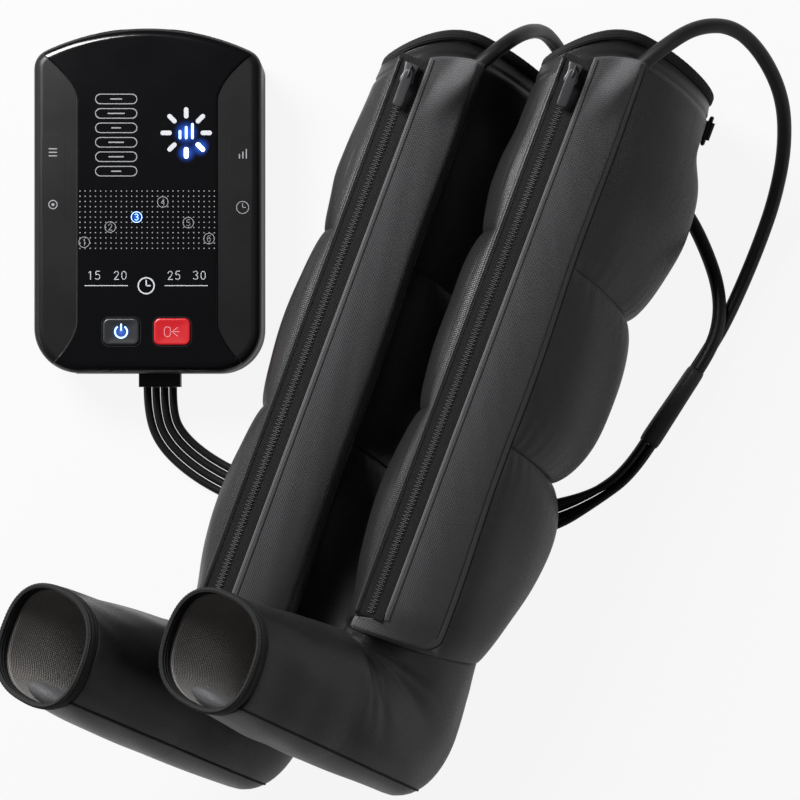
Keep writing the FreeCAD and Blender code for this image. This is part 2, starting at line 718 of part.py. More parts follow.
PIN_PLAY = 0.4
PULL_SIDE = 1
EYE_WALL = 1.2
STEM_LENGTH = 6
STEM_LAP = 0.5
THROUGH = 1
FOOT_STATIONS = (0, 5, 13, 25, 45)
INSIDE_STATIONS = (0, 8, 30)
ACROSS_LEG = Rotation(Vector(1, 0, 0), Vector(0, 0, -1), Vector(0, 1, 0), "XYZ")
ACROSS_TOE = Rotation(Vector(0, 1, 0), Vector(0, 0, 1), Vector(1, 0, 0), "XYZ")


def zip_height(level):
    """Height of the underside of the zip tape at a level above the sole."""
    return ZIP_LOW + ZIP_SEAT + ZIP_SLOPE * (level - size.lower_level)


def oval(place, a, b, power=2.0, sides=OVAL_SIDES):
    """Corners of a closed outline: |x/a|^power + |y/b|^power = 1."""
    corners = []
    for i in range(sides):
        turn = 2 * math.pi * i / sides
        c, w = math.cos(turn), math.sin(turn)
        corners.append(place.multVec(Vector(a * math.copysign(abs(c) ** (2 / power), c),
                                            b * math.copysign(abs(w) ** (2 / power), w), 0)))
    return corners


def flat_face(*corners):
    return Part.Face(Part.makePolygon(list(corners) + [corners[0]]))


def facets(name, rows, bore=None):
    """A solid with flat walls between outlines; a wall that would twist is two triangles.

    A bore is the outlines of a hole right through it, from the same end.
    """
    faces = [] if bore else [flat_face(*rows[0]), flat_face(*rows[-1])]
    if bore:
        rows = rows + bore[::-1] + rows[:1]
    for low, high in zip(rows, rows[1:]):
        for i in range(len(low)):
            j = (i + 1) % len(low)
            p, q, r, t = low[i], low[j], high[j], high[i]
            normal = (q - p).cross(r - p)
            if abs(normal.normalize().dot(t - p)) < FLAT_ENOUGH:
                faces.append(flat_face(p, q, r, t))
            else:
                faces += [flat_face(p, q, r), flat_face(p, r, t)]
    shell = Part.Shell(faces)
    shell.sewShape()
    shape = Part.Solid(shell)
    if shape.Volume < 0:
        shape.reverse()
    return solid(name, shape)


def between(start, end, share):
    """A centre between two centres."""
    return tuple(p + (q - p) * share for p, q in zip(start, end))


def arched(corners):
    """Corners of the cuff lowered to both sides of its crest, so that its rim is an arch."""
    rim = OVALS["rim"]
    reach = half_width(rim.a, rim.b)
    for corner in corners:
        share = (corner.x - rim.centre[0]) / reach
        corner.y -= (size.rim_fall_toe if share < 0 else size.rim_fall_calf) * share ** 2
    return corners


def chamber(side, low, full, high, top_band=False):
    """A puffy air chamber between two creases, hollow for the leg."""
    first, widest, last = OVALS[low], OVALS[full], OVALS[high]
    name = f"{side}_{full}"
    end_level = size.neck_level if top_band else last.level
    shoulder = widest.a - size.shoulder_slack
    rows = [(first.place(), first.a)]
    for edge, level in ((first, first.level + size.shoulder_step),
                        (last, end_level - size.shoulder_step)):
        spot = between(edge.centre, widest.centre, SHOULDER_SHARE)
        rows.append((Placement(Vector(spot[0], level, spot[1]), OVAL_TURN), shoulder))
    rows.insert(2, (widest.place(), widest.a))
    rows.append((last.place(end_level), last.a))
    outer = [oval(place, a, a * size.leg_flatness) for place, a in rows]
    wall = size.leg_wall
    bore = [oval(edge.place(), edge.a - wall, edge.b - wall) for edge in (first, last)]
    if top_band:
        outer[-1:] = [arched(outer[-1]), arched(oval(last.place(), last.a, last.b))]
        arched(bore[-1])
    return facets(name, outer, bore)


def foot_section(reach, inset):
    """Half height, half width and middle of the foot at a reach from the leg axis to the toe."""
    heel_radius = size.heel_height / 2
    heel_axis = heel_radius - size.foot_heel
    share = max(reach - heel_axis, 0) / (size.foot_toe - heel_axis)
    low = size.toe_lift * share
    high = size.heel_height + (size.toe_lift + size.toe_opening - size.heel_height) * share
    tall, wide = (high - low) / 2, size.foot_width / 2
    behind = max(heel_axis - reach, 0) / heel_radius
    end = size.foot_heel + reach
    edge = max(1 - end / size.foot_round, 0)
    tall *= math.sqrt(max(1 - behind ** 2, 0))
    wide -= size.foot_round * (1 - math.sqrt(1 - edge ** 2))
    return tall - inset, wide - inset, (low + high) / 2


def foot_block(name, inset, start, stop, stations):
    """The foot as walls between sections across the toe direction, with its ankle collar."""
    reaches = [start + step - size.foot_heel for step in stations]
    rows = []
    for reach, spot in [(r, r) for r in reaches] + [(size.foot_toe, stop)]:
        tall, wide, middle = foot_section(reach, inset)
        rows.append(oval(Placement(Vector(spot, middle, 0), ACROSS_TOE), tall, wide, FOOT_POWER,
                         FOOT_SIDES))
    wall = min(inset, size.leg_wall)
    ends = [oval(at(0, level, 0, ACROSS_LEG), size.ankle_a - wall,
                 size.ankle_a * size.leg_flatness - wall)
            for level in (size.heel_height / 2, size.ankle_level + min(inset, 1))]
    return fuse(f"{name}_Whole", facets(f"{name}_Tunnel", rows), facets(f"{name}_Collar", ends))


def build_foot(side, place):
    outer = foot_block(f"{side}_FootOuter", 0, 1.5, size.foot_toe, FOOT_STATIONS)
    inner = foot_block(f"{side}_FootInner", size.foot_wall, size.foot_wall + 6, size.foot_toe + 1,
                       INSIDE_STATIONS)
    node(f"{side}_foot_shell", cut(f"{side}_Foot", outer, inner), place)
    sole = doc.addObject("PartDesign::Body", f"{side}_Insole")
    slope = math.degrees(math.atan2(size.toe_lift, size.foot_toe + size.foot_heel
                                    - size.heel_height / 2))
    length = size.foot_toe - 2
    profile = rounded_rectangle((-length / 2 - 4, 0), length, size.insole_width,
                                size.insole_width / 2 - 1)
    pad(sole, f"{side}_InsolePad", sketch(sole, f"{side}_InsoleOutline", profile,
                                          lift=size.insole_lift), "Sizes.insole_thick")
    lie = Placement(Vector(size.foot_toe, size.toe_lift + size.foot_wall, 0),
                    Rotation(Vector(0, 0, 1), slope))
    lie = lie.multiply(Placement(Vector(), Rotation(Vector(1, 0, 0), -90)))
    node(f"{side}_insole", sole, place.multiply(lie))
    tall, wide, middle = foot_section(size.foot_toe, 0)
    walls = [[oval(Placement(Vector(reach, middle, 0), ACROSS_TOE), tall + grow, wide + grow,
                   FOOT_POWER, FOOT_SIDES)
              for reach in (size.foot_toe, size.foot_toe + size.binding_deep)]
             for grow in (size.binding_proud, -size.foot_wall - size.binding_proud)]
    node(f"{side}_toe_binding", facets(f"{side}_ToeRing", *walls), place)


def wire_ring(centre, axis, start, radius, sides):
    """Corners of a regular outline about an axis."""
    first = axis.cross(start).normalize() * radius
    return [centre + Rotation(axis, 360 * i / sides).multVec(first) for i in range(sides)]


def d_ring(side, centre):
    """A straight bar along the leg, and a half circle of the same wire that hangs from it."""
    radius, wire = size.ring_radius, size.ring_wire
    rows = []
    for i in range(RING_STEPS + 1):
        turn = math.pi * i / RING_STEPS
        spot = centre - Vector(0, radius * math.cos(turn), radius * math.sin(turn))
        along = Vector(0, math.sin(turn), -math.cos(turn))
        rows.append(wire_ring(spot, along, Vector(1, 0, 0), wire, RING_SIDES))
    bar = cylinder(f"{side}_RingBar", centre - UP * (radius + wire), UP, Radius="Sizes.ring_wire",
                   Height="2 * Sizes.ring_radius + 2 * Sizes.ring_wire")
    return fuse(f"{side}_Ring", bar, facets(f"{side}_RingBow", rows))


def build_cuff(side, place):
    """The binding that caps the cuff, the D-ring with its tab, and the hose gland."""
    rim = OVALS["rim"]
    start = rim.level + BINDING_SEAT
    walls = [[arched(oval(rim.place(level), rim.a + grow, rim.b + grow))
              for level in (start, start + size.binding_deep)]
             for grow in (size.binding_proud, -size.leg_wall - size.binding_proud)]
    node(f"{side}_cuff_binding", facets(f"{side}_Cuff", *walls), place)
    reach = half_width(rim.a, rim.b)
    low = (rim.a ** 2 - rim.b ** 2) * math.sin(ROLL) * math.cos(ROLL) / reach
    x, z = rim.centre[0] + reach + size.running_gap, rim.centre[1] - low
    bar_x = x + size.tab_reach - size.ring_wire - TAB_MARGIN
    tab = box(f"{side}_TabBlock", Vector(x, size.ring_level - size.tab_width / 2,
                                         z - size.tab_thick / 2),
              Length="Sizes.tab_reach", Width="Sizes.tab_width", Height="Sizes.tab_thick")
    eye = cylinder(f"{side}_TabEye", Vector(bar_x, size.ring_level - size.tab_width, z), UP,
                   Radius="Sizes.ring_wire + Sizes.running_gap", Height="2 * Sizes.tab_width")
    node(f"{side}_d_ring_tab", cut(f"{side}_Tab", tab, eye), place)
    node(f"{side}_d_ring", d_ring(side, Vector(bar_x, size.ring_level, z)), place)
    turn = math.radians(size.gland_turn)
    a, b = rim.a * math.cos(turn), rim.b * math.sin(turn)
    normal = (TOE * (a / rim.a ** 2) + ACROSS * (b / rim.b ** 2)).normalize()
    spot = Vector(rim.centre[0], 0, rim.centre[1]) + TOE * a + ACROSS * b
    spot += normal * (size.gland_radius + GLAND_SEAT)
    spot.y = size.flap_end + size.gland_radius * abs(OUT.x) + GLAND_STEP
    gland = cylinder(f"{side}_Gland", spot, OUT, Radius="Sizes.gland_radius",
                     Height="Sizes.gland_length")
    node(f"{side}_hose_gland", gland, place.multiply(gland.Placement))
    return spot + OUT * size.gland_length


def build_zip(side, place):
    """Tape, coil, slider with its pin, and the pull that hangs on the pin."""
    def strip(name, width, thick, lift, start, length):
        corner = Vector(-getattr(size, width) / 2, start, zip_height(start) + lift)
        return box(name, corner, ZIP_TILT, Length=f"Sizes.{width}", Height=f"Sizes.{thick}",
                   Width=length)

    whole = "Sizes.zip_end - Sizes.zip_start"
    tape = strip(f"{side}_Tape", "tape_width", "tape_thick", 0, size.zip_start, whole)
    node(f"{side}_zip_tape", tape, place.multiply(tape.Placement))
    coil = strip(f"{side}_Coil", "coil_width", "coil_thick", size.tape_thick + COIL_SEAT,
                 size.zip_start + COIL_MARGIN, f"{whole} - {2 * COIL_MARGIN}")
    node(f"{side}_zip_coil", coil, place.multiply(coil.Placement))
    # the slider is modelled along the zip line, its rear end at the upper end of the zip
    rear = size.zip_end - SLIDER_STOP
    line = Placement(Vector(0, rear, zip_height(rear) + size.tape_thick), ZIP_TILT)
    shell = box(f"{side}_SliderShell", Vector(-size.slider_width / 2, -size.slider_length,
                                              size.running_gap),
                Length="Sizes.slider_width", Width="Sizes.slider_length",
                Height="Sizes.slider_height")
    channel = box(f"{side}_SliderChannel", Vector(-size.coil_width / 2 - size.running_gap,
                                                  -size.slider_length - THROUGH, -THROUGH),
                  Length="Sizes.coil_width + 2 * Sizes.running_gap",
                  Width=f"Sizes.slider_length + {2 * THROUGH}",
                  Height=f"Sizes.coil_thick + Sizes.running_gap + {THROUGH}")
    pin_y = -size.slider_length / 2
    lug_gap = size.pull_width - 2 * PULL_SIDE
    lugs = []
    for i, sign in enumerate((-1, 1)):
        x = sign * (lug_gap + LUG_THICK) / 2 - LUG_THICK / 2
        lugs.append(box(f"{side}_Lug{i}", Vector(x, pin_y - LUG_DEEP / 2, size.slider_height - THROUGH),
                        Length=str(LUG_THICK), Width=str(LUG_DEEP),
                        Height=f"Sizes.pin_level - Sizes.slider_height + {LUG_CAP}"))
    pin = cylinder(f"{side}_Pin", Vector(-(lug_gap + LUG_THICK) / 2, pin_y, size.pin_level + PIN_RISE),
                   Vector(1, 0, 0), Radius="Sizes.pin_radius",
                   Height=f"Sizes.pull_width - {PIN_PLAY}")
    block = fuse(f"{side}_SliderBlock", shell, *lugs, pin)
    node(f"{side}_zip_slider", cut(f"{side}_Slider", block, channel), place.multiply(line))
    barrel = cylinder(f"{side}_PullBarrel", Vector(-lug_gap / 2 + size.running_gap, 0, 0),
                      Vector(1, 0, 0), Radius=f"Sizes.pin_radius + {EYE_WALL}",
                      Height=f"Sizes.pull_width - {2 * PULL_SIDE} - 2 * Sizes.running_gap")
    stem = box(f"{side}_PullStem", Vector(-lug_gap / 2 + size.running_gap, -STEM_LENGTH, -size.pull_thick / 2),
               Length=f"Sizes.pull_width - {2 * PULL_SIDE} - 2 * Sizes.running_gap", Width=str(STEM_LENGTH),
               Height="Sizes.pull_thick")
    leaf = box(f"{side}_PullLeaf", Vector(-size.pull_width / 2, -size.pull_length,
                                          -size.pull_thick / 2),
               Length="Sizes.pull_width", Width=f"Sizes.pull_length - {STEM_LENGTH - STEM_LAP}",
               Height="Sizes.pull_thick")
    eye = cylinder(f"{side}_PullEye", Vector(-size.pull_width, 0, 0), Vector(1, 0, 0),
                   Radius="Sizes.pin_radius + Sizes.running_gap", Height="2 * Sizes.pull_width")
    pull = cut(f"{side}_Pull", fuse(f"{side}_PullPlate", barrel, stem, leaf), eye)
    hang = Placement(Vector(0, pin_y, size.pin_level + PIN_RISE),
                     Rotation(Vector(1, 0, 0), size.pull_droop))
    node(f"{side}_zip_pull", pull, place.multiply(line).multiply(hang))


def build_flap(side, place):
    """A curved panel over the chambers, beside the zip, from the ankle to the cuff."""
    rows = []
    for name, grow in (("Outer", size.flap_thick + FLAP_EASE), ("Inner", FLAP_EASE)):
        ends = []
        for full, level in (("lower", size.flap_start), ("upper", size.flap_end)):
            a, b = OVALS[full].a, OVALS[full].b + FLAP_EASE
            crest = zip_height(level) - ZIP_SEAT
            spot = Placement(Vector(under_zip(a, b), level, crest - half_height(a, b)), OVAL_TURN)
            ends.append(oval(spot, a + grow, b + grow))
        rows.append(facets(f"{side}_Flap{name}", ends))
    ring = cut(f"{side}_FlapRing", *rows)
    window = box(f"{side}_FlapWindow", Vector(size.flap_left, 0, 90),
                 Length="Sizes.flap_right - Sizes.flap_left", Width="Sizes.rim_level",
                 Height="120")
    node(f"{side}_flap", common(f"{side}_Flap", ring, window), place)


def build_boot(side, origin):
    """All the pieces of one boot, moved from its own zip line and sole to its place."""
    place = Placement(origin, Rotation())
    node(f"{side}_lower_chamber", chamber(side, "ankle", "lower", "calf"), place)
    node(f"{side}_middle_chamber", chamber(side, "calf", "middle", "knee"), place)
    node(f"{side}_upper_chamber", chamber(side, "knee", "upper", "rim", True), place)
    foot_place = place.multiply(Placement(Vector(OVALS["ankle"].centre[0], 0,
                                                 size.foot_axis_level), FOOT_TURN))
    build_foot(side, foot_place)
    gland_end = build_cuff(side, place)
    build_zip(side, place)
    build_flap(side, place)
    return origin + gland_end


# ---------------------------------------------------------------- hoses
def route_wire(points, label):
    """Straight runs joined by tangent arcs; each arc is as large as its two runs allow."""
    edges, radii = [], []
    start = points[0]
    for before, corner, after in zip(points, points[1:], points[2:]):
        back, ahead = before - corner, after - corner
        shorter = min(back.Length, ahead.Length)
        turn = math.pi - back.getAngle(ahead)
        reach = 0.45 * shorter
        radius = reach / math.tan(turn / 2)
        radii.append(radius)
        back.normalize()
        ahead.normalize()
        entry, leave = corner + back * reach, corner + ahead * reach
        inward = (back + ahead).normalize()
        middle = corner + inward * (radius / math.cos(turn / 2) - radius)
        edges += [Part.LineSegment(start, entry).toShape(), Part.Arc(entry, middle, leave).toShape()]
        start = leave
    edges.append(Part.LineSegment(start, points[-1]).toShape())
    wire = Part.Wire(edges)
    print(f"{label}: length {wire.Length:.1f} mm, radii {[round(r) for r in radii]}")
    return wire


def plain_tube(label, points, diameter, sides):
    """A tube of `sides` flats along a route; its volume is compared with section times length."""
    wire = route_wire(points, label)
    along = (points[1] - points[0]).normalize()
    outline = wire_ring(points[0], along, Vector(0, 0, 1), diameter / 2, sides)
    shape = wire.makePipeShell([Part.makePolygon(outline + outline[:1])], True, True)
    section = sides / 2 * (diameter / 2) ** 2 * math.sin(2 * math.pi / sides)
    share = shape.Volume / (section * wire.Length)
    print(f"{label}: volume over section times length {share:.4f}")
    return node(label, solid(label.title().replace("_", ""), shape))


SUPPLY_ROUTE = [(-80.2, -48.1, 14), (-73.7, -65.5, 14), (-60.3, -82.2, 8), (-33.3, -93.7, 3.6),
                (1.7, -98.7, 3.1), (47.7, -98.2, 3.1), (94.7, -90.7, 3.1), (141.7, -77.2, 3.1),
                (187.7, -60.1, 3.1), (227.7, -38.1, 3.1), (256.2, -10.2, 3.4), (272.8, 15.4, 4.4),
                (278.2, 40.1, 4.4)]
TUBE_SIDES = 6
LIFT_FROM = 8
BUNDLE_FROM = 10
HOSE_RIGHT = [(292.5, 105.1, 6.7), (296.8, 124.6, 6.7), (300.5, 145.3, 7), (300.7, 170.8, 14),
              (297.5, 207.4, 28.7), (291.1, 243.4, 45), (283.7, 273.2, 70.7), (272, 298.4, 99.5),
              (253.1, 315.4, 127.7), (227.8, 321.7, 149.6), (199.7, 315.7, 163.6)]
HOSE_LEFT = [(292.5, 105.1, 17.6), (296.8, 124.6, 17.6), (294.7, 147.8, 16.8), (286.2, 168.8, 12),
             (271.7, 188.8, 6.5), (250.7, 209.8, 5.3), (226.7, 225.8, 5.3), (201.7, 240.3, 6.5),
             (175.7, 252.8, 13), (144.7, 265.4, 27), (123.7, 280.5, 44.7), (109.7, 296, 67.6),
             (102.2, 305, 95.2), (96.2, 300.5, 124.2), (86.3, 283.2, 146.8)]
STRAIGHT_OUT = 24
END_GAP = 0.3


def sideways(points, i):
    """Level direction across the route at one of its points, turned to the left."""
    after, before = points[min(i + 1, len(points) - 1)], points[max(i - 1, 0)]
    along = Vector(after.x - before.x, after.y - before.y, 0).normalize()
    return Vector(-along.y, along.x, 0)


def supply_tube(index):
    """One of four tubes: side by side from the pump, two on two towards the sleeve."""
    centre = [Vector(*p) for p in SUPPLY_ROUTE]
    outer = index in (0, 3)
    side = 1 if index < 2 else -1
    points = []
    for i, spot in enumerate(centre):
        shift = (1.5 - index if i < BUNDLE_FROM else side / 2) * size.tube_pitch
        lift = size.tube_pitch if outer and i >= LIFT_FROM else 0
        points.append(spot + sideways(centre, i) * shift + Vector(0, 0, lift))
    return plain_tube(f"supply_tube_{index + 1}", points, size.tube_outer, TUBE_SIDES)


def build_sleeve():
    """The flat sleeve in which the supply tubes go over into the two boot hoses."""
    start, end = Vector(*SUPPLY_ROUTE[-1]), Vector(*HOSE_RIGHT[0])
    along = Vector(end.x - start.x, end.y - start.y, 0).normalize()
    across = Vector(-along.y, along.x, 0)
    wall = size.sleeve_wall
    wide_in, high_in = size.tube_pitch * 2 + 2 * wall, size.tube_pitch * 2 + 2 * wall
    wide_out, high_out = size.hose_outer + 2 * wall, HOSE_LEFT[0][2] + size.hose_outer / 2 + wall
    low = 0.1
    rows = []
    start, end = start + along * END_GAP, end - along * END_GAP
    for spot, wide, high in ((start, wide_in, high_in), (end, wide_out, high_out)):
        base = Vector(spot.x, spot.y, low)
        rows.append([base - across * wide / 2, base + across * wide / 2,
                     base + across * wide / 2 + Vector(0, 0, high - low),
                     base - across * wide / 2 + Vector(0, 0, high - low)])
    node("hose_sleeve", facets("HoseSleeve", rows))


def build_hoses(gland_ends):
    for index in range(4):
        supply_tube(index)
    build_sleeve()
    for side, route in (("right", HOSE_RIGHT), ("left", HOSE_LEFT)):
        points = [Vector(*p) for p in route]
        points += [gland_ends[side] + OUT * STRAIGHT_OUT, gland_ends[side]]
        plain_tube(f"{side}_boot_hose", points, size.hose_outer, TUBE_SIDES)


# ---------------------------------------------------------------- the whole object
build_pump()
doc.recompute()
ends = {"right": build_boot("right", Vector(size.right_x, size.right_y, size.right_z)),
        "left": build_boot("left", Vector(size.left_x, size.left_y, 0))}
doc.recompute()
build_hoses(ends)
doc.recompute()

for obj in doc.Objects:
    if "Invalid" in obj.State or "Error" in obj.State:
        raise RuntimeError(f"{obj.Name} failed: {obj.State}")
for label, obj in parts.items():
    if obj.Shape.isNull() or not obj.Shape.isValid():
        raise RuntimeError(f"{label} has no valid shape")

os.makedirs("parts", exist_ok=True)
for label, obj in parts.items():
    obj.Shape.exportStep(f"parts/{label}.step")
print(f"{len(parts)} parts written")
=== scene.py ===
"""Visual model of a compression therapy pump: control unit, two padded leg boots and hoses."""
import logging
import math
from dataclasses import dataclass, field
from enum import Enum
from typing import Sequence

import bmesh
import bpy
import numpy as np
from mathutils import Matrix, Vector


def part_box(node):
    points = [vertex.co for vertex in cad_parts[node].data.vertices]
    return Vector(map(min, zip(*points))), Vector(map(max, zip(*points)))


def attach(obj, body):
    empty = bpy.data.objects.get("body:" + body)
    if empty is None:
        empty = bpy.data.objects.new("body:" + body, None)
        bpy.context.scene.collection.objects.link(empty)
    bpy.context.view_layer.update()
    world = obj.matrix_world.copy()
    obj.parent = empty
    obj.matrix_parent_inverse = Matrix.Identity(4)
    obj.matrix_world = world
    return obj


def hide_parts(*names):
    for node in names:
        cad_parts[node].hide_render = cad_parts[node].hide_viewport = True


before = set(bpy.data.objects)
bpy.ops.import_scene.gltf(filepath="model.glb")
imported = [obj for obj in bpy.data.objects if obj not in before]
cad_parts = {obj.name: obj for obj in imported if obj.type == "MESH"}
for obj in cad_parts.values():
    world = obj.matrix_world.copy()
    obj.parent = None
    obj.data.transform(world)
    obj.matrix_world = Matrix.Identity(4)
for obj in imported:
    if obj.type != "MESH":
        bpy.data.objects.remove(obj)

log = logging.getLogger("pump")
logging.basicConfig(level=logging.INFO, format="%(message)s")
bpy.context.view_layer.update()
MM = 0.001
BASE = "base"
UV_MAP = "cloth"
INK_SCALE = 300.0
Points = np.ndarray


# ---- shader expressions
class Sock:
    """A shader output that can be used in arithmetic."""

    def __init__(self, graph: "Graph", link: bpy.types.NodeSocket) -> None:
        """Keeps the graph and the output socket."""
        self.graph, self.link = graph, link

    def _math(self, operation: str, first: "Value", second: "Value" = 0.0) -> "Sock":
        """Adds one Math node."""
        return self.graph.make("ShaderNodeMath", {0: first, 1: second}, operation=operation)

    def __add__(self, other: "Value") -> "Sock":
        """Sum."""
        return self._math("ADD", self, other)

    def __sub__(self, other: "Value") -> "Sock":
        """Difference."""
        return self._math("SUBTRACT", self, other)

    def __rsub__(self, other: "Value") -> "Sock":
        """Reflected difference."""
        return self._math("SUBTRACT", other, self)

    def __mul__(self, other: "Value") -> "Sock":
        """Product."""
        return self._math("MULTIPLY", self, other)

    __radd__, __rmul__ = __add__, __mul__

    def sin(self) -> "Sock":
        """Sine."""
        return self._math("SINE", self)


Value = float | Sock | tuple


class Graph:
    """Node tree of one material, built from expressions."""

    def __init__(self, name: str) -> None:
        """Makes an empty material.

        Args:
            name: Name of the material.
        """
        self.material = bpy.data.materials.new(name)
        self.material.use_nodes = True
        self.tree = self.material.node_tree
        self.tree.nodes.clear()

    def make(self, kind: str, sockets: dict | None = None, out: int | str = 0, **settings) -> Sock:
        """Adds a node: its settings first, then the values or links of its sockets.

        Args:
            kind: Node type.
            sockets: Input name or index to a value or a Sock.
            out: Output name or index.
            settings: Properties of the node.

        Returns:
            The chosen output.
        """
        node = self.tree.nodes.new(kind)
        for key, value in settings.items():
            setattr(node, key, value)
        for key, value in (sockets or {}).items():
            if isinstance(value, Sock):
                self.tree.links.new(value.link, node.inputs[key])
            else:
                node.inputs[key].default_value = value
        return Sock(self, node.outputs[out] if node.outputs else None)

    def place(self) -> Sock:
        """Object coordinates."""
        return self.make("ShaderNodeTexCoord", out="Object")

    def noise(self, scale: float, detail: float = 3.0, rough: float = 0.5) -> Sock:
        """Noise over the object, 0 to 1."""
        return self.make("ShaderNodeTexNoise", {"Vector": self.place(), "Scale": scale,
                                                "Detail": detail, "Roughness": rough})

    def uv(self) -> tuple[Sock, Sock]:
        """The piece's own map: lengths in metres round it and along it, or a share of light."""
        vector = self.make("ShaderNodeUVMap", uv_map=UV_MAP)
        return tuple(self.make("ShaderNodeSeparateXYZ", {0: vector}, out=i) for i in (0, 1))

    def blend(self, factor: Value, low: tuple, high: tuple) -> Sock:
        """Colour between two colours."""
        return self.make("ShaderNodeMix", {"Factor": factor, 6: (*low, 1), 7: (*high, 1)},
                         out=2, data_type="RGBA")

    def bump(self, height: Sock, depth: float, strength: float = 1.0,
             under: Sock | None = None) -> Sock:
        """Normal from a height of 0 to 1 times a depth in metres."""
        sockets = {"Height": height, "Distance": depth, "Strength": strength}
        return self.make("ShaderNodeBump", sockets | ({"Normal": under} if under else {}))

    def close(self, **sockets: Value) -> bpy.types.Material:
        """Ends the graph in a Principled shader; underscores stand for spaces.

        Args:
            sockets: Value or link of each input.

        Returns:
            The finished material.
        """
        values = {k.replace("_", " "): v for k, v in sockets.items()}
        shader = self.make("ShaderNodeBsdfPrincipled", values)
        self.make("ShaderNodeOutputMaterial", {"Surface": shader})
        return self.material


@dataclass(frozen=True)
class Cloth:
    """Coated woven cloth: fine twill, soft sheen, faint unevenness."""

    name: str
    dark: tuple
    light: tuple
    pitch: float = 2.5
    depth: float = 0.35
    rough: float = 0.43
    sheen: float = 0.015
    gloss: float = 0.13
    fibre_scale: float = 1300.0
    cloud_scale: float = 14.0

    def build(self) -> bpy.types.Material:
        """Twill of two crossed sines on the surface measures, in bump, colour and roughness.

        Returns:
            The material.
        """
        g = Graph(self.name)
        u, v = g.uv()
        turn = 2 * math.pi / (self.pitch * MM)
        weave = ((u + v) * turn).sin() * ((u - v) * turn).sin() * 0.5 + 0.5
        fine = g.noise(self.fibre_scale, 2)
        cloud = g.noise(self.cloud_scale, 4)
        colour = g.blend(weave * 0.86 + fine * 0.14, self.dark, self.light)
        normal = g.bump(weave + fine * 0.15, self.depth * MM, 0.8, g.bump(cloud, 0.0008, 0.25))
        return g.close(Base_Color=colour, Roughness=self.rough + (cloud - 0.5) * 0.22 - weave * 0.06,
                       Normal=normal, Sheen_Weight=self.sheen, Sheen_Roughness=0.35,
                       Specular_IOR_Level=self.gloss)


@dataclass(frozen=True)
class Ribbed:
    """Elastic or webbing tape with ribs across its run."""

    name: str
    colour: tuple
    pitch: float = 1.6
    rough: float = 0.7
    thread: float = 0.8
    fray_scale: float = 500.0

    def build(self) -> bpy.types.Material:
        """Ribs along u, threads along v.

        Returns:
            The material.
        """
        g = Graph(self.name)
        u, v = g.uv()
        rib = (u * (2 * math.pi / (self.pitch * MM))).sin() * 0.5 + 0.5
        thread = (v * (2 * math.pi / (self.thread * MM))).sin() * 0.5 + 0.5
        fray = g.noise(self.fray_scale, 3)
        low = tuple(c * 0.5 for c in self.colour)
        high = tuple(c * 1.7 for c in self.colour)
        colour = g.blend(rib * 0.5 + thread * 0.2 + fray * 0.3, low, high)
        return g.close(Base_Color=colour, Roughness=self.rough + fray * 0.15,
                       Normal=g.bump(rib + thread * 0.4 + fray * 0.3, 0.0004),
                       Specular_IOR_Level=0.3)


@dataclass(frozen=True)
class Moulded:
    """Plastic, rubber or lacquer: grain, handling marks and a roughness that varies."""

    name: str
    colour: tuple
    rough: float = 0.45
    grain: float = 0.02
    grain_scale: float = 1400.0
    metal: float = 0.0
    vary: float = 0.08
    gloss: float = 0.5
    cloud_scale: float = 22.0

    def build(self) -> bpy.types.Material:
        """Noise grain in bump, broad noise in colour and roughness.

        Returns:
            The material.
        """
        g = Graph(self.name)
        grain = g.noise(self.grain_scale, 2)
        cloud = g.noise(self.cloud_scale, 4, 0.6)
        low = tuple(c * (1 - self.vary) for c in self.colour)
        high = tuple(c * (1 + self.vary) for c in self.colour)
        return g.close(Base_Color=g.blend(cloud, low, high),
                       Roughness=self.rough + (cloud - 0.5) * self.vary * 1.6,
                       Normal=g.bump(grain, self.grain * MM, 0.6), Metallic=self.metal,
                       Specular_IOR_Level=self.gloss)


@dataclass(frozen=True)
class Lit:
    """A printed or lit mark; on printed marks the faint emission is painted light, since they are no
    lamps.
    """

    name: str
    colour: tuple
    glow: float

    def build(self) -> bpy.types.Material:
        """Slightly uneven ink colour, also given off as light: on printed marks this glow is painted
        light.

        Returns:
            The material.
        """
        g = Graph(self.name)
        ink = g.noise(INK_SCALE, 2)
        colour = g.blend(ink, tuple(c * 0.88 for c in self.colour), self.colour)
        return g.close(Base_Color=colour, Roughness=0.5, Emission_Color=colour,
                       Emission_Strength=self.glow)


@dataclass(frozen=True)
class Halo:
    """Light that fades out from a lit mark over the surface round it."""

    name: str
    light: tuple
    ground: tuple
    rough: float
    strength: float = 1.6

    def build(self) -> bpy.types.Material:
        """Emission follows the share of light that the piece's own map carries.

        Returns:
            The material.
        """
        g = Graph(self.name)
        fade = g.uv()[1]
        ink = g.noise(INK_SCALE, 2) * 0.1 + 0.9
        ground = g.blend(ink, tuple(c * 0.8 for c in self.ground), self.ground)
        return g.close(Base_Color=ground, Roughness=self.rough,
                       Emission_Color=g.blend(fade * ink, (0, 0, 0), self.light),
                       Emission_Strength=self.strength)


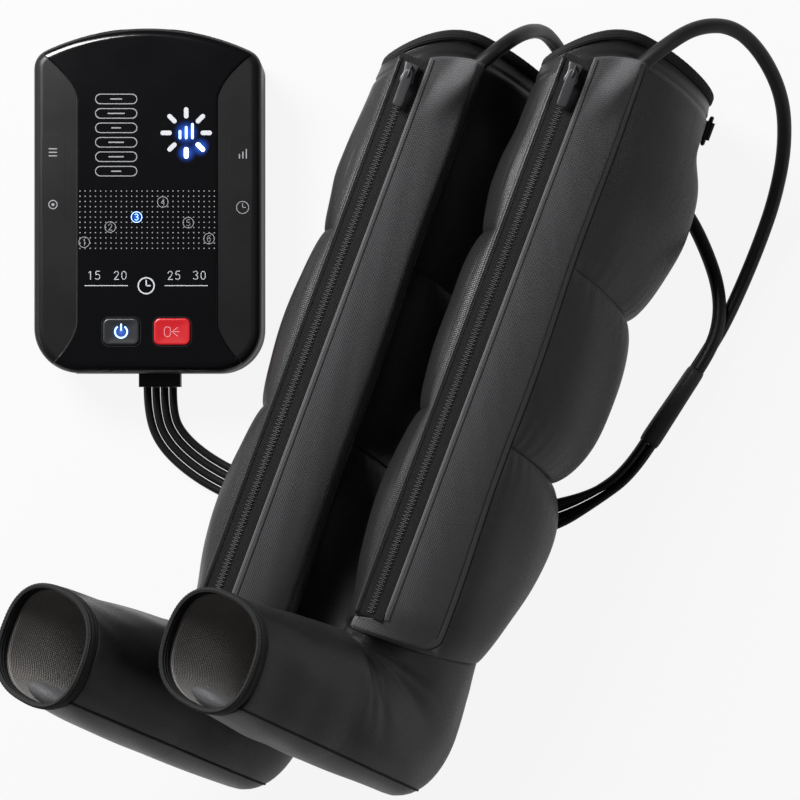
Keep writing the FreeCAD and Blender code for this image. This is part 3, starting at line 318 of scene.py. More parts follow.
class Finish(Enum):
    """Every finish on the object."""

    BODY = Cloth("body_cloth", (0.001, 0.001, 0.0012), (0.029, 0.028, 0.028), depth=0.16,
                 rough=0.33, gloss=0.26)
    FLAP = Cloth("flap_cloth", (0.028, 0.028, 0.0295), (0.125, 0.124, 0.128), depth=0.3,
                 rough=0.4)
    LINING = Cloth("mesh_lining", (0.010, 0.009, 0.008), (0.45, 0.43, 0.41), pitch=3.3,
                   depth=0.5, rough=0.7)
    INSOLE = Cloth("insole_cloth", (0.03, 0.03, 0.032), (0.12, 0.12, 0.125), pitch=2.6)
    BINDING = Ribbed("ribbed_binding", (0.0085, 0.0085, 0.009), 2.4)
    PIPING = Ribbed("edge_piping", (0.034, 0.032, 0.030), 1.6, rough=0.6)
    TAPE = Ribbed("zip_tape_weave", (0.006, 0.006, 0.0066), 1.0)
    COIL = Moulded("zip_coil_nylon", (0.085, 0.085, 0.088), 0.3, vary=0.3)
    SLIDER = Moulded("slider_lacquer", (0.030, 0.030, 0.033), 0.38, vary=0.12)
    RING = Moulded("ring_plastic", (0.014, 0.014, 0.015), 0.36)
    CASING = Moulded("casing_satin", (0.0055, 0.0056, 0.0060), 0.34, grain=0.012,
                     grain_scale=2600, gloss=0.22)
    BACK = Moulded("back_shell_satin", (0.008, 0.008, 0.0085), 0.45, grain=0.04, grain_scale=2200)
    PANEL = Moulded("panel_gloss", (0.0016, 0.0016, 0.002), 0.14, grain=0.0, vary=0.05)
    BEZEL = Moulded("bezel_satin", (0.006, 0.006, 0.007), 0.25)
    CAP = Moulded("cap_grey", (0.012, 0.0125, 0.015), 0.32)
    RED_CAP = Moulded("cap_red", (0.40, 0.008, 0.013), 0.3)
    TUBE = Moulded("tube_rubber", (0.0085, 0.0085, 0.009), 0.42, grain=0.03, grain_scale=700,
                   vary=0.25, gloss=0.26)
    SLEEVE = Moulded("sleeve_shrink", (0.016, 0.016, 0.017), 0.55, grain=0.08, grain_scale=600)
    PORT = Moulded("port_moulding", (0.013, 0.013, 0.014), 0.4)
    # WHITE_MARK, DIM_MARK and PINK_MARK are printed marks whose faint glow is painted light; BLUE_MARK and
    # ICE_MARK are the panel's lit marks.
    WHITE_MARK = Lit("mark_white", (0.40, 0.41, 0.43), 0.25)
    DIM_MARK = Lit("mark_dim", (0.20, 0.20, 0.21), 0.2)
    BLUE_MARK = Lit("mark_blue", (0.30, 0.52, 1.0), 2.2)
    ICE_MARK = Lit("mark_ice", (0.72, 0.86, 1.0), 1.8)
    PINK_MARK = Lit("mark_pink", (0.55, 0.20, 0.22), 0.2)
    BOARD = Moulded("circuit_board", (0.02, 0.13, 0.06), 0.5)
    STEEL = Moulded("drawn_steel", (0.55, 0.56, 0.58), 0.3, metal=1.0)
    PALE = Moulded("pale_moulding", (0.6, 0.6, 0.57), 0.5)
    WRAP = Moulded("battery_wrap", (0.02, 0.06, 0.2), 0.35)
    RUBBER = Moulded("soft_rubber", (0.015, 0.015, 0.015), 0.7)
    GLOW = Halo("panel_light", (0.03, 0.14, 0.85), (0.0016, 0.0016, 0.002), 0.14)
    CAP_GLOW = Halo("cap_light", (0.02, 0.10, 0.55), (0.012, 0.0125, 0.015), 0.32)

    def material(self) -> bpy.types.Material:
        """The finish's material, made once."""
        return bpy.data.materials.get(self.value.name) or self.value.build()


# ---- meshes from arrays
def quads(rows: int, columns: int, wrap_rows: bool) -> list[list[int]]:
    """Corner indices of the faces between the points of a grid whose columns join up.

    Args:
        rows: Points along the first axis.
        columns: Points along the second axis.
        wrap_rows: The last row joins the first.

    Returns:
        Four indices for each face.
    """
    i = np.arange(rows if wrap_rows else rows - 1)[:, None]
    j = np.arange(columns)[None, :]
    near, far = i * columns, (i + 1) % rows * columns
    left, right = j, (j + 1) % columns
    return np.stack([near + left, near + right, far + right, far + left], -1).reshape(-1, 4).tolist()


def caps(rows: int, columns: int) -> list[list[int]]:
    """The two faces that close the first and the last row of a grid."""
    return [list(range(columns))[::-1], list(range((rows - 1) * columns, rows * columns))]


def paint(mesh: bpy.types.Mesh, values: Points) -> bpy.types.Mesh:
    """Writes a pair of numbers for each vertex into the mesh's map.

    Args:
        mesh: The mesh.
        values: One row of two numbers for each vertex.

    Returns:
        The mesh.
    """
    layer = mesh.uv_layers.get(UV_MAP) or mesh.uv_layers.new(name=UV_MAP)
    corners = np.zeros(len(mesh.loops), int)
    mesh.loops.foreach_get("vertex_index", corners)
    layer.data.foreach_set("uv", values[corners].astype(np.float32).ravel())
    return mesh


@dataclass
class Surface:
    """Points on a grid whose columns join up, to become one closed mesh."""

    points: Points
    wrap_rows: bool = False

    def measures(self) -> tuple[Points, Points]:
        """Mean length round the rows up to each column, and up the columns to each row.

        Returns:
            Running lengths that start at 0.
        """
        across = np.linalg.norm(np.diff(self.points, axis=1, append=self.points[:, :1]), axis=2)
        along = np.linalg.norm(np.diff(self.points, axis=0, append=self.points[:1]), axis=2)
        return (np.concatenate([[0], np.cumsum(across.mean(0))]),
                np.concatenate([[0], np.cumsum(along.mean(1))]))

    def mesh(self) -> bpy.types.Mesh:
        """The mesh, with a map in metres and faces that point outwards.

        The ends are closed by a face each, where the rows don't join up.

        Returns:
            The mesh.
        """
        rows, columns = self.points.shape[:2]
        points = self.points.reshape(-1, 3)
        groups = quads(rows, columns, self.wrap_rows)
        r, c = np.divmod(np.array(groups), columns)
        u, v = self.measures()
        low_r, low_c = r[:, :1], c[:, :1]
        uv = np.stack([u[low_c + (c - low_c) % columns], v[low_r + (r - low_r) % rows]], -1)
        uv = uv.reshape(-1, 2)
        if not self.wrap_rows:
            ends = caps(rows, columns)
            groups += ends
            uv = np.concatenate([uv, *(points[end][:, :2] for end in ends)])
        mesh = bpy.data.meshes.new("surface")
        mesh.from_pydata(points.tolist(), [], groups)
        mesh.uv_layers.new(name=UV_MAP).data.foreach_set("uv", uv.astype(np.float32).ravel())
        mesh.polygons.foreach_set("use_smooth", np.ones(len(mesh.polygons), bool))
        return outward(mesh)


def outward(mesh: bpy.types.Mesh) -> bpy.types.Mesh:
    """Turns the faces of a closed mesh outwards.

    Args:
        mesh: A closed mesh.

    Returns:
        The same mesh.
    """
    edit = bmesh.new()
    edit.from_mesh(mesh)
    bmesh.ops.recalc_face_normals(edit, faces=edit.faces)
    edit.to_mesh(mesh)
    edit.free()
    mesh.update()
    return mesh


def joined(parts: Sequence[tuple[Points, Sequence]]) -> bpy.types.Mesh:
    """One mesh from several sets of points and faces, with flat measures from x and y.

    Args:
        parts: Points and faces of each part.

    Returns:
        The mesh.
    """
    faces, start = [], 0
    for xyz, groups in parts:
        faces += [[start + i for i in group] for group in groups]
        start += len(xyz)
    points = np.concatenate([xyz for xyz, _ in parts])
    mesh = bpy.data.meshes.new("joined")
    mesh.from_pydata(points.tolist(), [], faces)
    return paint(mesh, points[:, :2])


def merged(meshes: Sequence[bpy.types.Mesh]) -> bpy.types.Mesh:
    """Several meshes as one.

    Args:
        meshes: The meshes.

    Returns:
        A new mesh.
    """
    edit = bmesh.new()
    for mesh in meshes:
        edit.from_mesh(mesh)
    out = bpy.data.meshes.new("merged")
    edit.to_mesh(out)
    edit.free()
    return out


def publish(name: str, data: Surface | bpy.types.ID, finish: Finish,
            body: str = BASE, stands_for: Sequence[str] = ()) -> bpy.types.Object:
    """Puts a finished piece into the scene with its finish, on its body, and logs it.

    Args:
        name: Name of the piece.
        data: Surface, mesh or curve.
        finish: Its finish.
        body: CAD body that it rides on.
        stands_for: CAD nodes that it replaces.

    Returns:
        The object.
    """
    data = data.mesh() if isinstance(data, Surface) else data
    data.name = name
    obj = bpy.data.objects.new(name, data)
    bpy.context.scene.collection.objects.link(obj)
    data.materials.append(finish.material())
    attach(obj, body)
    if stands_for:
        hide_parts(*stands_for)
    log.info("piece %s on %s", name, body)
    return obj


# ---- curves and outlines
def cad_box(node: str) -> tuple[Points, Points]:
    """Low and high corner of a CAD node's box, in millimetres."""
    low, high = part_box(node)
    return np.array(low) / MM, np.array(high) / MM


def circle(count: int) -> Points:
    """Angles of evenly spaced points round a circle."""
    return np.linspace(0, 2 * np.pi, count, endpoint=False)


def arc(centre: Sequence[float], radius: float, angles: Points) -> Points:
    """Points of a circle's arc in a plane."""
    return np.stack([centre[0] + radius * np.cos(angles), centre[1] + radius * np.sin(angles)], 1)


def unit(vectors: Points, floor: float = 0.0) -> Points:
    """Vectors of length one; none is divided by less than the floor."""
    return vectors / np.maximum(np.linalg.norm(vectors, axis=-1, keepdims=True), floor)


def boxy(turn: Points, power: float) -> tuple[Points, Points]:
    """Cosine and sine with their size raised to a power: below 1 a circle turns squarish."""
    c, s = np.cos(turn), np.sin(turn)
    return np.sign(c) * np.abs(c) ** power, np.sign(s) * np.abs(s) ** power


def smooth(value: Points | float, low: float, high: float) -> Points:
    """Smoothstep from 0 at low to 1 at high."""
    t = np.clip((np.asarray(value, float) - low) / (high - low), 0, 1)
    return t * t * (3 - 2 * t)


def flow(at: Points, keys: Points, values: Points) -> Points:
    """Smooth curve through keys: a cubic whose slope at a key is that of its neighbours.

    Args:
        at: Places to work out.
        keys: Places of the keys.
        values: Values at the keys.

    Returns:
        The value at each place.
    """
    slope = np.gradient(values, keys)
    i = np.clip(np.searchsorted(keys, at) - 1, 0, len(keys) - 2)
    span = keys[i + 1] - keys[i]
    t = np.clip((at - keys[i]) / span, 0, 1)
    return ((1 + 2 * t) * (1 - t) ** 2 * values[i] + t * (1 - t) ** 2 * span * slope[i]
            + t * t * (3 - 2 * t) * values[i + 1] + t * t * (t - 1) * span * slope[i + 1])


def ripple(*waves: Points, seed: int = 3) -> Points:
    """Soft unevenness of about -1 to 1: a sum of five sines with fixed odd phases.

    Args:
        waves: What the sines run along.
        seed: Choice of the phases.

    Returns:
        A value for each point.
    """
    total = np.zeros(np.broadcast(*waves).shape)
    for k in range(1, 6):
        phase = math.sin(seed * 12.9 + k * 78.2) * 43.7
        mix = sum(w * (0.7 + 0.6 * math.sin(seed + k * (i + 2.3))) for i, w in enumerate(waves))
        total += np.sin(mix * k * 0.83 + phase) / k ** 0.7
    return total / 2.4


def skin_normals(points: Points) -> Points:
    """Outward directions of a tube-like grid: the cross product of its two slopes.

    Their common sign is the one that points away from the rows' middles.

    Args:
        points: Rows round a tube.

    Returns:
        A direction for each point.
    """
    normal = unit(np.cross(np.gradient(points, axis=1), np.gradient(points, axis=0)), 1e-9)
    away = points - points.mean(1, keepdims=True)
    return normal * np.sign((normal * away).sum(2, keepdims=True).mean())


def girth(outline: Points) -> Points:
    """Way round a closed outline up to each of its points and back to the first."""
    steps = np.linalg.norm(np.diff(outline, axis=0, append=outline[:1]), axis=1)
    return np.concatenate([[0], np.cumsum(steps)])


def even(outline: Points, count: int) -> Points:
    """A closed outline with its points evenly spaced.

    Args:
        outline: Its points.
        count: How many new points.

    Returns:
        The new points.
    """
    share = girth(outline)
    closed = np.concatenate([outline, outline[:1]])
    at = np.linspace(0, share[-1], count, endpoint=False)
    return np.stack([np.interp(at, share, values) for values in closed.T], 1)


def distance(spots: Points, line: Points) -> Points:
    """Distance of each spot of a grid to the nearest point of a line, row by row."""
    return np.array([np.sqrt(((row[:, None] - line[None]) ** 2).sum(2).min(1)) for row in spots])


def rounded(width: float, height: float, corner: float, steps: int = 8) -> Points:
    """Outline of a rectangle with round corners.

    Args:
        width: Its width.
        height: Its height.
        corner: Radius of a corner.
        steps: Points on a corner.

    Returns:
        The outline.
    """
    quarter = arc((0, 0), corner, np.linspace(0, np.pi / 2, steps))
    x, y = width / 2 - corner, height / 2 - corner
    corners = [turned(quarter, math.cos(k * np.pi / 2), math.sin(k * np.pi / 2)) + [sx * x, sy * y]
               for k, (sx, sy) in enumerate(((1, 1), (-1, 1), (-1, -1), (1, -1)))]
    return np.concatenate(corners)


def turned(points: Points, c: float, s: float) -> Points:
    """Plane points turned by the angle with this cosine and sine."""
    return np.stack([points[:, 0] * c - points[:, 1] * s, points[:, 0] * s + points[:, 1] * c], 1)


def spun(path: Points, radius: float, sides: int = 12, closed: bool = False,
         squash: float = 1.0) -> Surface:
    """A round wall carried along a path: each ring lies square to the path.

    Args:
        path: Points of the path.
        radius: Half the width of the ring.
        sides: Points round.
        closed: The path joins up.
        squash: Height of the ring over its width.

    Returns:
        The surface.
    """
    ahead = np.roll(path, -1, 0) - np.roll(path, 1, 0) if closed else np.gradient(path, axis=0)
    ahead = unit(ahead)
    upright = np.abs(ahead[:, 2]).max() > 0.98
    side = unit(np.cross(ahead, [1.0, 0, 0] if upright else [0, 0, 1.0]))
    rise = np.cross(side, ahead)
    turn = circle(sides)
    ring = side[:, None] * np.cos(turn)[None, :, None] + rise[:, None] * (
        np.sin(turn)[None, :, None] * squash)
    return Surface(path[:, None] + ring * radius, wrap_rows=closed)


# ---- leg boots
ROLL = math.radians(50)
TOE = np.array([-math.cos(ROLL), 0, math.sin(ROLL)])
ACROSS = np.array([math.sin(ROLL), 0, math.cos(ROLL)])
UP = np.array([0.0, 1.0, 0.0])
FLATNESS = 0.45


def half_height(a: Points) -> Points:
    """Half the height of a rolled oval of semi-axis a."""
    return np.hypot(a * math.sin(ROLL), a * FLATNESS * math.cos(ROLL))


def crest_shift(a: Points) -> Points:
    """How far right of its highest point the middle of a rolled oval lies."""
    return a ** 2 * (1 - FLATNESS ** 2) * math.sin(ROLL) * math.cos(ROLL) / half_height(a)


@dataclass
class Boot:
    """The shape that one boot's pieces share, in millimetres from its zip line and sole.

    A leg is a rolled oval at each level: sewn creases inside, a filled envelope outside.

    Attributes:
        levels: Level, semi-axis, x and z of each sewn oval.
        envelope: Levels and semi-axes of the filled leg.
        zip_low: Level and height of a point on the zip line.
        clearance: Gap between the filled leg and the zip tape.
        rim_sink, ankle_sink: How far the filled leg sinks at its two ends.
        fall: How far the cuff's edge drops on its left and on its right.
    """

    side: str
    origin: tuple[float, float, float]
    seed: int
    levels: dict[str, tuple] = field(default_factory=lambda: {
        "ankle": (110, 69, 38, 73.05), "calf": (261, 74, 42.5, 88), "knee": (390, 82, 46, 90),
        "rim": (558, 86, 42, 92)})
    envelope: tuple = ((110, 186, 325, 462, 490, 515, 534, 558),
                       (80, 91, 97, 102, 100.5, 95, 90, 86.3))
    zip_low: tuple = (186, 151.45)
    zip_slope: float = 0.050325
    zip_start: float = 124
    zip_end: float = 530
    clearance: float = 0.25
    rim_sink: float = 9
    ankle_sink: float = 6
    fall: tuple = (37.0, 6.0)
    wall: float = 7.0

    def name(self, part: str) -> str:
        """The node name of a part of this boot."""
        return f"{self.side}_{part}"

    def put(self, points: Points) -> Points:
        """Boot millimetres to metres in the shared frame."""
        return (points + np.array(self.origin)) * MM

    def add(self, piece: str, data: Surface | bpy.types.Mesh, finish: Finish, slot: str,
            node: str = "", body: str = "") -> bpy.types.Object:
        """Publishes a piece of this boot, in place of a node and on a body where given."""
        return publish(self.name(piece), data, finish, self.name(body) if body else BASE,
                       [self.name(node)] if node else ())

    def part_box(self, part: str) -> tuple[Points, Points]:
        """Low and high corner of one of this boot's CAD nodes, in boot millimetres."""
        low, high = cad_box(self.name(part))
        return low - self.origin, high - self.origin

    def zip_line(self, level: Points) -> Points:
        """Height of the underside of the zip tape: a straight line up the leg."""
        return self.zip_low[1] + self.zip_slope * (level - self.zip_low[0])

    def semi_axis(self, level: Points) -> Points:
        """Semi-axis of the filled leg at a level."""
        keys, values = np.array(self.envelope, float)
        return flow(level, keys, values)

    def ring(self, level: Points, a: Points, x: Points, z: Points, turn: Points) -> Points:
        """A rolled oval: middle + toe direction * a cos + across direction * b sin.

        Args:
            level: Level above the sole.
            a: Semi-axis.
            x: Its middle across.
            z: Its middle's height.
            turn: Angle round it.

        Returns:
            Points in boot millimetres.
        """
        spot = TOE * (a * np.cos(turn))[..., None] + ACROSS * (a * FLATNESS * np.sin(turn))[..., None]
        spot[..., 0] += x
        spot[..., 2] += z
        spot[..., 1] += level
        return spot

    def leg_point(self, level: Points, turn: Points, fill: Points) -> Points:
        """Skin of the leg between the sewn crease ovals (fill 0) and the envelope (fill 1).

        Args:
            level: Level above the sole.
            turn: Angle round the leg from the toe side.
            fill: How far the chamber stands out.

        Returns:
            Points in boot millimetres.
        """
        keys = np.array(list(self.levels.values()), float)
        a, x, z = (np.interp(level, keys[:, 0], keys[:, k]) for k in (1, 2, 3))
        crease = self.ring(level, a, x, z, turn)
        full = self.semi_axis(level)
        top = (self.zip_line(level) - self.clearance - self.rim_sink * smooth(level, 540, 558)
               - self.ankle_sink * smooth(-level, -128, -108))
        outer = self.ring(level, full, crest_shift(full), top - half_height(full), turn)
        return crease + (outer - crease) * fill[..., None]

    def skin_height(self, x: Points, level: Points) -> Points:
        """Height of the envelope over a point: the upper crossing of the rolled oval.

        It solves p dz^2 + q dz + r = 0, where the oval's equation is turned by the roll.

        Args:
            x: Place across the boot.
            level: Level above the sole.

        Returns:
            The heights.
        """
        a = self.semi_axis(level)
        b = a * FLATNESS
        c, s = math.cos(ROLL), math.sin(ROLL)
        dx = x - crest_shift(a)
        p = s ** 2 / a ** 2 + c ** 2 / b ** 2
        q = 2 * s * c * (1 / b ** 2 - 1 / a ** 2) * dx
        r = (c ** 2 / a ** 2 + s ** 2 / b ** 2) * dx ** 2 - 1
        middle = self.zip_line(level) - self.clearance - half_height(a)
        return middle + (-q + np.sqrt(np.maximum(q * q - 4 * p * r, 0))) / (2 * p)

    def arch(self, points: Points) -> Points:
        """Lowers the cuff on both sides of its crest: by the square of the way to its edge.

        Args:
            points: Points in boot millimetres.

        Returns:
            The lowered points.
        """
        _, a, x, z = self.levels["rim"]
        share = (points[..., 0] - x) / math.hypot(a * math.cos(ROLL), a * FLATNESS * math.sin(ROLL))
        drop = np.where(share < 0, *self.fall) * share ** 2 * smooth(points[..., 1], 400, 530)
        out = points.copy()
        out[..., 1] -= drop
        out[..., 2] -= drop * self.zip_slope * (points[..., 2] > z)
        return out

    def build(self) -> None:
        """All the pieces of the boot."""
        for part in (Leg, Foot, Cuff, Zip, Flap):
            part(self).build()


@dataclass
class Leg:
    """Three padded air chambers, each a closed skin round the leg opening.

    Attributes:
        swelling: Powers p and q of a chamber's fill.
        upper_side: Height above which zip and flap hold the skin.
        pleat: Reach of the sewn pleats, their distance from the seam, and their height.
        seam: Level, width and depth of the sewn line below the rim.
        tab_reach, tab_fade: How far from the D-ring's tab the skin closes in, and how suddenly.
    """

    boot: Boot
    rows: int = 96
    columns: int = 224
    swelling: tuple = (2.1, 0.55)
    upper_side: float = 92
    pleat: tuple = (15, 3.0, 0.9)
    unevenness: float = 1.5
    seam: tuple = (546.5, 1.5, 1.1)
    tab_reach: float = 22
    tab_fade: float = 2.6

    def crease_level(self, key: str, turn: Points) -> Points:
        """A sewn crease: highest beside the zip, lower on the calf side.

        Args:
            key: Name of the crease.
            turn: Angle round the leg.

        Returns:
            Its level at each angle.
        """
        base = self.boot.levels[key][0]
        if key in ("ankle", "rim"):
            return np.full_like(turn, base)
        return base + 9 * np.sin(turn + 0.62) - 8 * np.cos(turn - 2.6)

    def fill(self, low: str, high: str, t: Points, turn: Points) -> Points:
        """How full a chamber is: (1 - |2t - 1|^p)^q between its two creases.

        The lowest chamber eases out of the ankle, and the highest runs on full to the rim.

        Args:
            low: Name of the lower crease.
            high: Name of the upper crease.
            t: Share of the way from the lower crease to the upper one.
            turn: Angle round the leg.

        Returns:
            The share of the way from the crease oval to the envelope.
        """
        p, q = self.swelling
        fill = (1 - np.abs(2 * t - 1) ** p) ** q
        if low == "ankle":
            front = smooth(np.cos(turn), -0.6, 0.4)
            fill = fill + (np.where(t < 0.5, smooth(t, -0.02, 0.5), fill) - fill) * front
        if high == "rim":
            fill = np.where(t > 0.5, 1.0, fill)
        return fill

    def freedom(self, full: Points, level: Points) -> Points:
        """How free the skin is to sink into a crease: 0 under the zip and flap, 1 elsewhere."""
        beside = smooth(-full[..., 0], 10, 24) + smooth(full[..., 0], 40, 60)
        return np.maximum(np.where(full[..., 2] > self.upper_side, beside, 1), 1 - smooth(level, 110, 121))

    def depth(self, full: Points, level: Points) -> Points:
        """How deep a crease is: deeper on the right of the flap and shallower left of the zip."""
        sides = 0.4 * smooth(full[..., 0], 20, 60) - 0.3 * smooth(-full[..., 0], 0, 20)
        return 1 + sides * smooth(level, 130, 170)

    def relief(self, near: Points, level: Points, turn: Points, fill: Points) -> Points:
        """Height of the pleats beside the seams and of the soft unevenness between them.

        Args:
            near: Distance to the nearest seam.
            level: Level above the sole.
            turn: Angle round the leg.
            fill: How full the chamber is.

        Returns:
            Height above the smooth skin.
        """
        reach, gap, height = self.pleat
        seed = self.boot.seed
        pleat = np.exp(-near / reach) * (1 - np.exp(-near / gap))
        pleat = pleat * (0.7 * ripple(turn * 13, seed=seed) + 0.3 * ripple(turn * 31, seed=9))
        soft = self.unevenness * ripple(turn * 2.3, level / 37, seed=seed + 4) * fill
        return pleat * height + soft * (1 - smooth(level, 500, 545))

    def chamber(self, low: str, high: str) -> Points:
        """Outer skin of one air chamber, as rows up the leg and columns round it.

        Args:
            low: Name of the lower crease.
            high: Name of the upper crease.

        Returns:
            Points in boot millimetres.
        """
        t = (1 - np.cos(np.linspace(0, np.pi, self.rows))) / 2
        t, turn = np.meshgrid(t, circle(self.columns), indexing="ij")
        start, end = self.crease_level(low, turn), self.crease_level(high, turn)
        level = start + (end - start) * t
        fill = self.fill(low, high, t, turn)
        full = self.boot.leg_point(level, turn, np.ones_like(t))
        free = self.freedom(full, level)
        points = self.boot.leg_point(level, turn, 1 - free * self.depth(full, level) * (1 - fill))
        below = np.inf if low == "ankle" else t
        above = np.inf if high == "rim" else 1 - t
        near = np.minimum(below, above) * (end - start)
        middle, width, depth = self.seam
        seam = depth * np.exp(-((level - middle) / width) ** 2)
        shift = self.relief(near, level, turn, fill) * free - seam
        shift *= smooth(points[..., 2], 0, 14)
        points = points + skin_normals(points) * shift[..., None]
        if high == "rim":
            points = self.pinched(points)
        points[..., 2] = np.maximum(points[..., 2], 0.0)
        return points

    def pinched(self, points: Points) -> Points:
        """Draws the skin in behind the webbing tab of the D-ring, fading out round it.

        Args:
            points: Skin of the highest chamber.

        Returns:
            The same skin.
        """
        low, high = self.boot.part_box("d_ring_tab")
        away = np.abs((points[..., 1] - (low[1] + high[1]) / 2) / self.tab_reach)
        near = np.exp(-away ** self.tab_fade) * (points[..., 0] > low[0])
        points[..., 0] -= np.maximum(points[..., 0] - low[0] - 0.5, 0) * near
        return points

    def lined(self, outer: Points, low: tuple, high: tuple, count: int = 14) -> Points:
        """Closes an outer skin with the inside of the leg opening.

        Args:
            outer: Rows of the outer skin.
            low: Level, semi-axis, x and z at the lower end.
            high: The same at the upper end.
            count: Rows of the inside.

        Returns:
            Rows that run up the outside and back down the inside.
        """
        share = np.linspace(1, 0, count)[:, None]
        level, a, x, z = (p + (q - p) * share for p, q in zip(low, high))
        turn = circle(outer.shape[1])
        wall = self.boot.wall
        inner = (TOE * ((a - wall) * np.cos(turn))[..., None]
                 + ACROSS * ((a * FLATNESS - wall) * np.sin(turn))[..., None])
        inner[..., 0] += x
        inner[..., 2] += z
        edge = np.where(share > 0.5, outer[-1, :, 1], outer[0, :, 1])
        inner[..., 1] = level + (edge - level) * (np.abs(share - 0.5) * 2) ** 6
        return np.concatenate([outer, inner])

    def build(self) -> None:
        """The three chambers; the highest one carries the arched cuff."""
        boot = self.boot
        for low, part, high in (("ankle", "lower", "calf"), ("calf", "middle", "knee"),
                                ("knee", "upper", "rim")):
            skin = self.lined(self.chamber(low, high), boot.levels[low], boot.levels[high])
            if high == "rim":
                skin = boot.arch(skin)
            obj = boot.add(f"{part}_chamber_skin", Surface(boot.put(skin), wrap_rows=True),
                           Finish.BODY, "body_fabric", f"{part}_chamber")


@dataclass
class Foot:
    """Foot shell with its lining, insole, toe binding and side piping.

    Its own points are measured along the toe direction, up, and across the foot.

    Attributes:
        axis: x and z of the foot's own origin.
        back: Points down the back of the ankle.
        heel: Middle and radius of the round heel.
        pivot: Point in front of the instep round which the sections fan out.
        instep_gap: Distance from the pivot to the instep, at the ankle and upright.
        curl: How far the sole's toe end curls up past its straight rise.
        roundness: Power of the sections at the ankle and along the foot.
        thinning: How much thinner the shell is at the toe opening.
        folds: Place along the foot, depth and width of each bend fold.
        insole_rise, insole_thick: Height over the sole and half thickness, with the toe's share.
    """

    boot: Boot
    axis: tuple = (38, 73.05)
    back: tuple = ((-69.0, 110.0), (-70.5, 96), (-72.6, 78))
    heel: tuple = (-22.0, 52.0, 52.0)
    pivot: tuple = (82.0, 110.0)
    instep_gap: tuple = (13, 3)
    toe_reach: float = 195
    toe_low: float = 31
    curl: float = 6
    toe_high: float = 114
    heel_high: float = 104
    half: float = 42
    ankle_half: float = 31.05
    roundness: tuple = (2.0, 2.5)
    columns: int = 160
    wall: float = 8
    thinning: float = 5.4
    unevenness: float = 1.2
    folds: tuple = ((0.07, 2.2, 0.018), (0.17, 3.0, 0.026), (0.29, 2.4, 0.03), (0.43, 1.6, 0.03))
    insole_ends: tuple = (-8, 190)
    insole_half: float = 20.5
    insole_rise: tuple = (12.0, 2.2)
    insole_thick: tuple = (3.0, 2.6)

    def place(self, local: Points) -> Points:
        """Foot points to boot millimetres."""
        x, z = self.axis
        return TOE * local[..., :1] + UP * local[..., 1:2] + ACROSS * local[..., 2:3] + [x, 0, z]

    def along(self, reach: Points) -> Points:
        """Share of the way from the heel to the toe opening."""
        return np.clip((reach - self.heel[0]) / (self.toe_reach - self.heel[0]), 0, 1)

    def sole(self, reach: Points) -> Points:
        """Height of the sole: a straight rise from the heel that curls up a little at the toe."""
        share = self.along(reach)
        return self.toe_low * share + self.curl * share ** 4

    def heel_outline(self) -> Points:
        """Back of the ankle, round heel and sole, in the plane of the toe direction and up.

        Returns:
            The outline.
        """
        x, y, r = self.heel
        reach = np.linspace(x + 3, self.toe_reach + 5, 70)
        return np.concatenate([self.back, arc((x, y), r, np.linspace(np.pi, 1.5 * np.pi, 40)),
                               np.stack([reach, self.sole(reach)], 1)])

    def section(self, near: Points, end: Points, half: float, power: float) -> Points:
        """One closed section |x/a|^n + |y/b|^n = 1.

        Args:
            near: Its point on the instep.
            end: Its point on the heel or sole.
            half: Half its width across the foot.
            power: The power n.

        Returns:
            A row of foot points.
        """
        c, s = boxy(circle(self.columns), 2 / power)
        spot = (near + end) / 2 + (near - end) / 2 * c[:, None]
        return np.column_stack([spot, half * s])

    def rows(self) -> Points:
        """Outer skin of the foot as rows of closed sections from the ankle round to the toe.

        Sections fan out from the pivot, from level at the ankle to upright at the instep, and
        then go on upright to the toe.

        Returns:
            Rows of foot points.
        """
        pivot = np.array(self.pivot)
        outline = self.heel_outline()
        ray = np.degrees(np.arctan2(pivot[1] - outline[:, 1], pivot[0] - outline[:, 0]))
        far = np.linalg.norm(outline - pivot, axis=1)
        gap, last_gap = self.instep_gap
        power, last_power = self.roundness
        rows = []
        for angle in np.linspace(0, 90, 46):
            aim = -np.array([math.cos(math.radians(angle)), math.sin(math.radians(angle))])
            reach = gap + (last_gap - gap) * smooth(angle, 0, 90)
            half = self.ankle_half + (self.half - self.ankle_half) * smooth(angle, 0, 60)
            rows.append(self.section(pivot + aim * reach, pivot + aim * np.interp(angle, ray, far),
                                     half, power + (last_power - power) * smooth(angle, 5, 70)))
        for reach in np.linspace(pivot[0], self.toe_reach, 44)[1:]:
            high = self.heel_high + (self.toe_high - self.heel_high) * self.along(reach)
            rows.append(self.section(np.array([reach, high]), np.array([reach, self.sole(reach)]),
                                     self.half, last_power))
        return np.array(rows)

    def relief(self, i: Points, turn: Points) -> Points:
        """Height of the bend folds on the instep and of the soft unevenness.

        A fold is a bell across a line that bends a little round the foot, on its upper side.

        Args:
            i: Share of the rows passed.
            turn: Angle round a section.

        Returns:
            Height above the smooth skin.
        """
        upper = smooth(np.cos(turn), -0.3, 0.7)
        height = self.unevenness * ripple(turn * 2.6, i * 9 + 0 * turn, seed=self.boot.seed + 7)
        folds = np.zeros(height.shape)
        for spot, deep, width in self.folds:
            bend = spot + 0.035 * np.sin(turn + spot * 20) + 0.02 * (1 - np.cos(turn))
            folds -= deep * np.exp(-((i - bend) / width) ** 2) * upper
        return (height + folds) * (smooth(i, 0, 0.05) * (1 - smooth(i, 0.97, 1.0)))

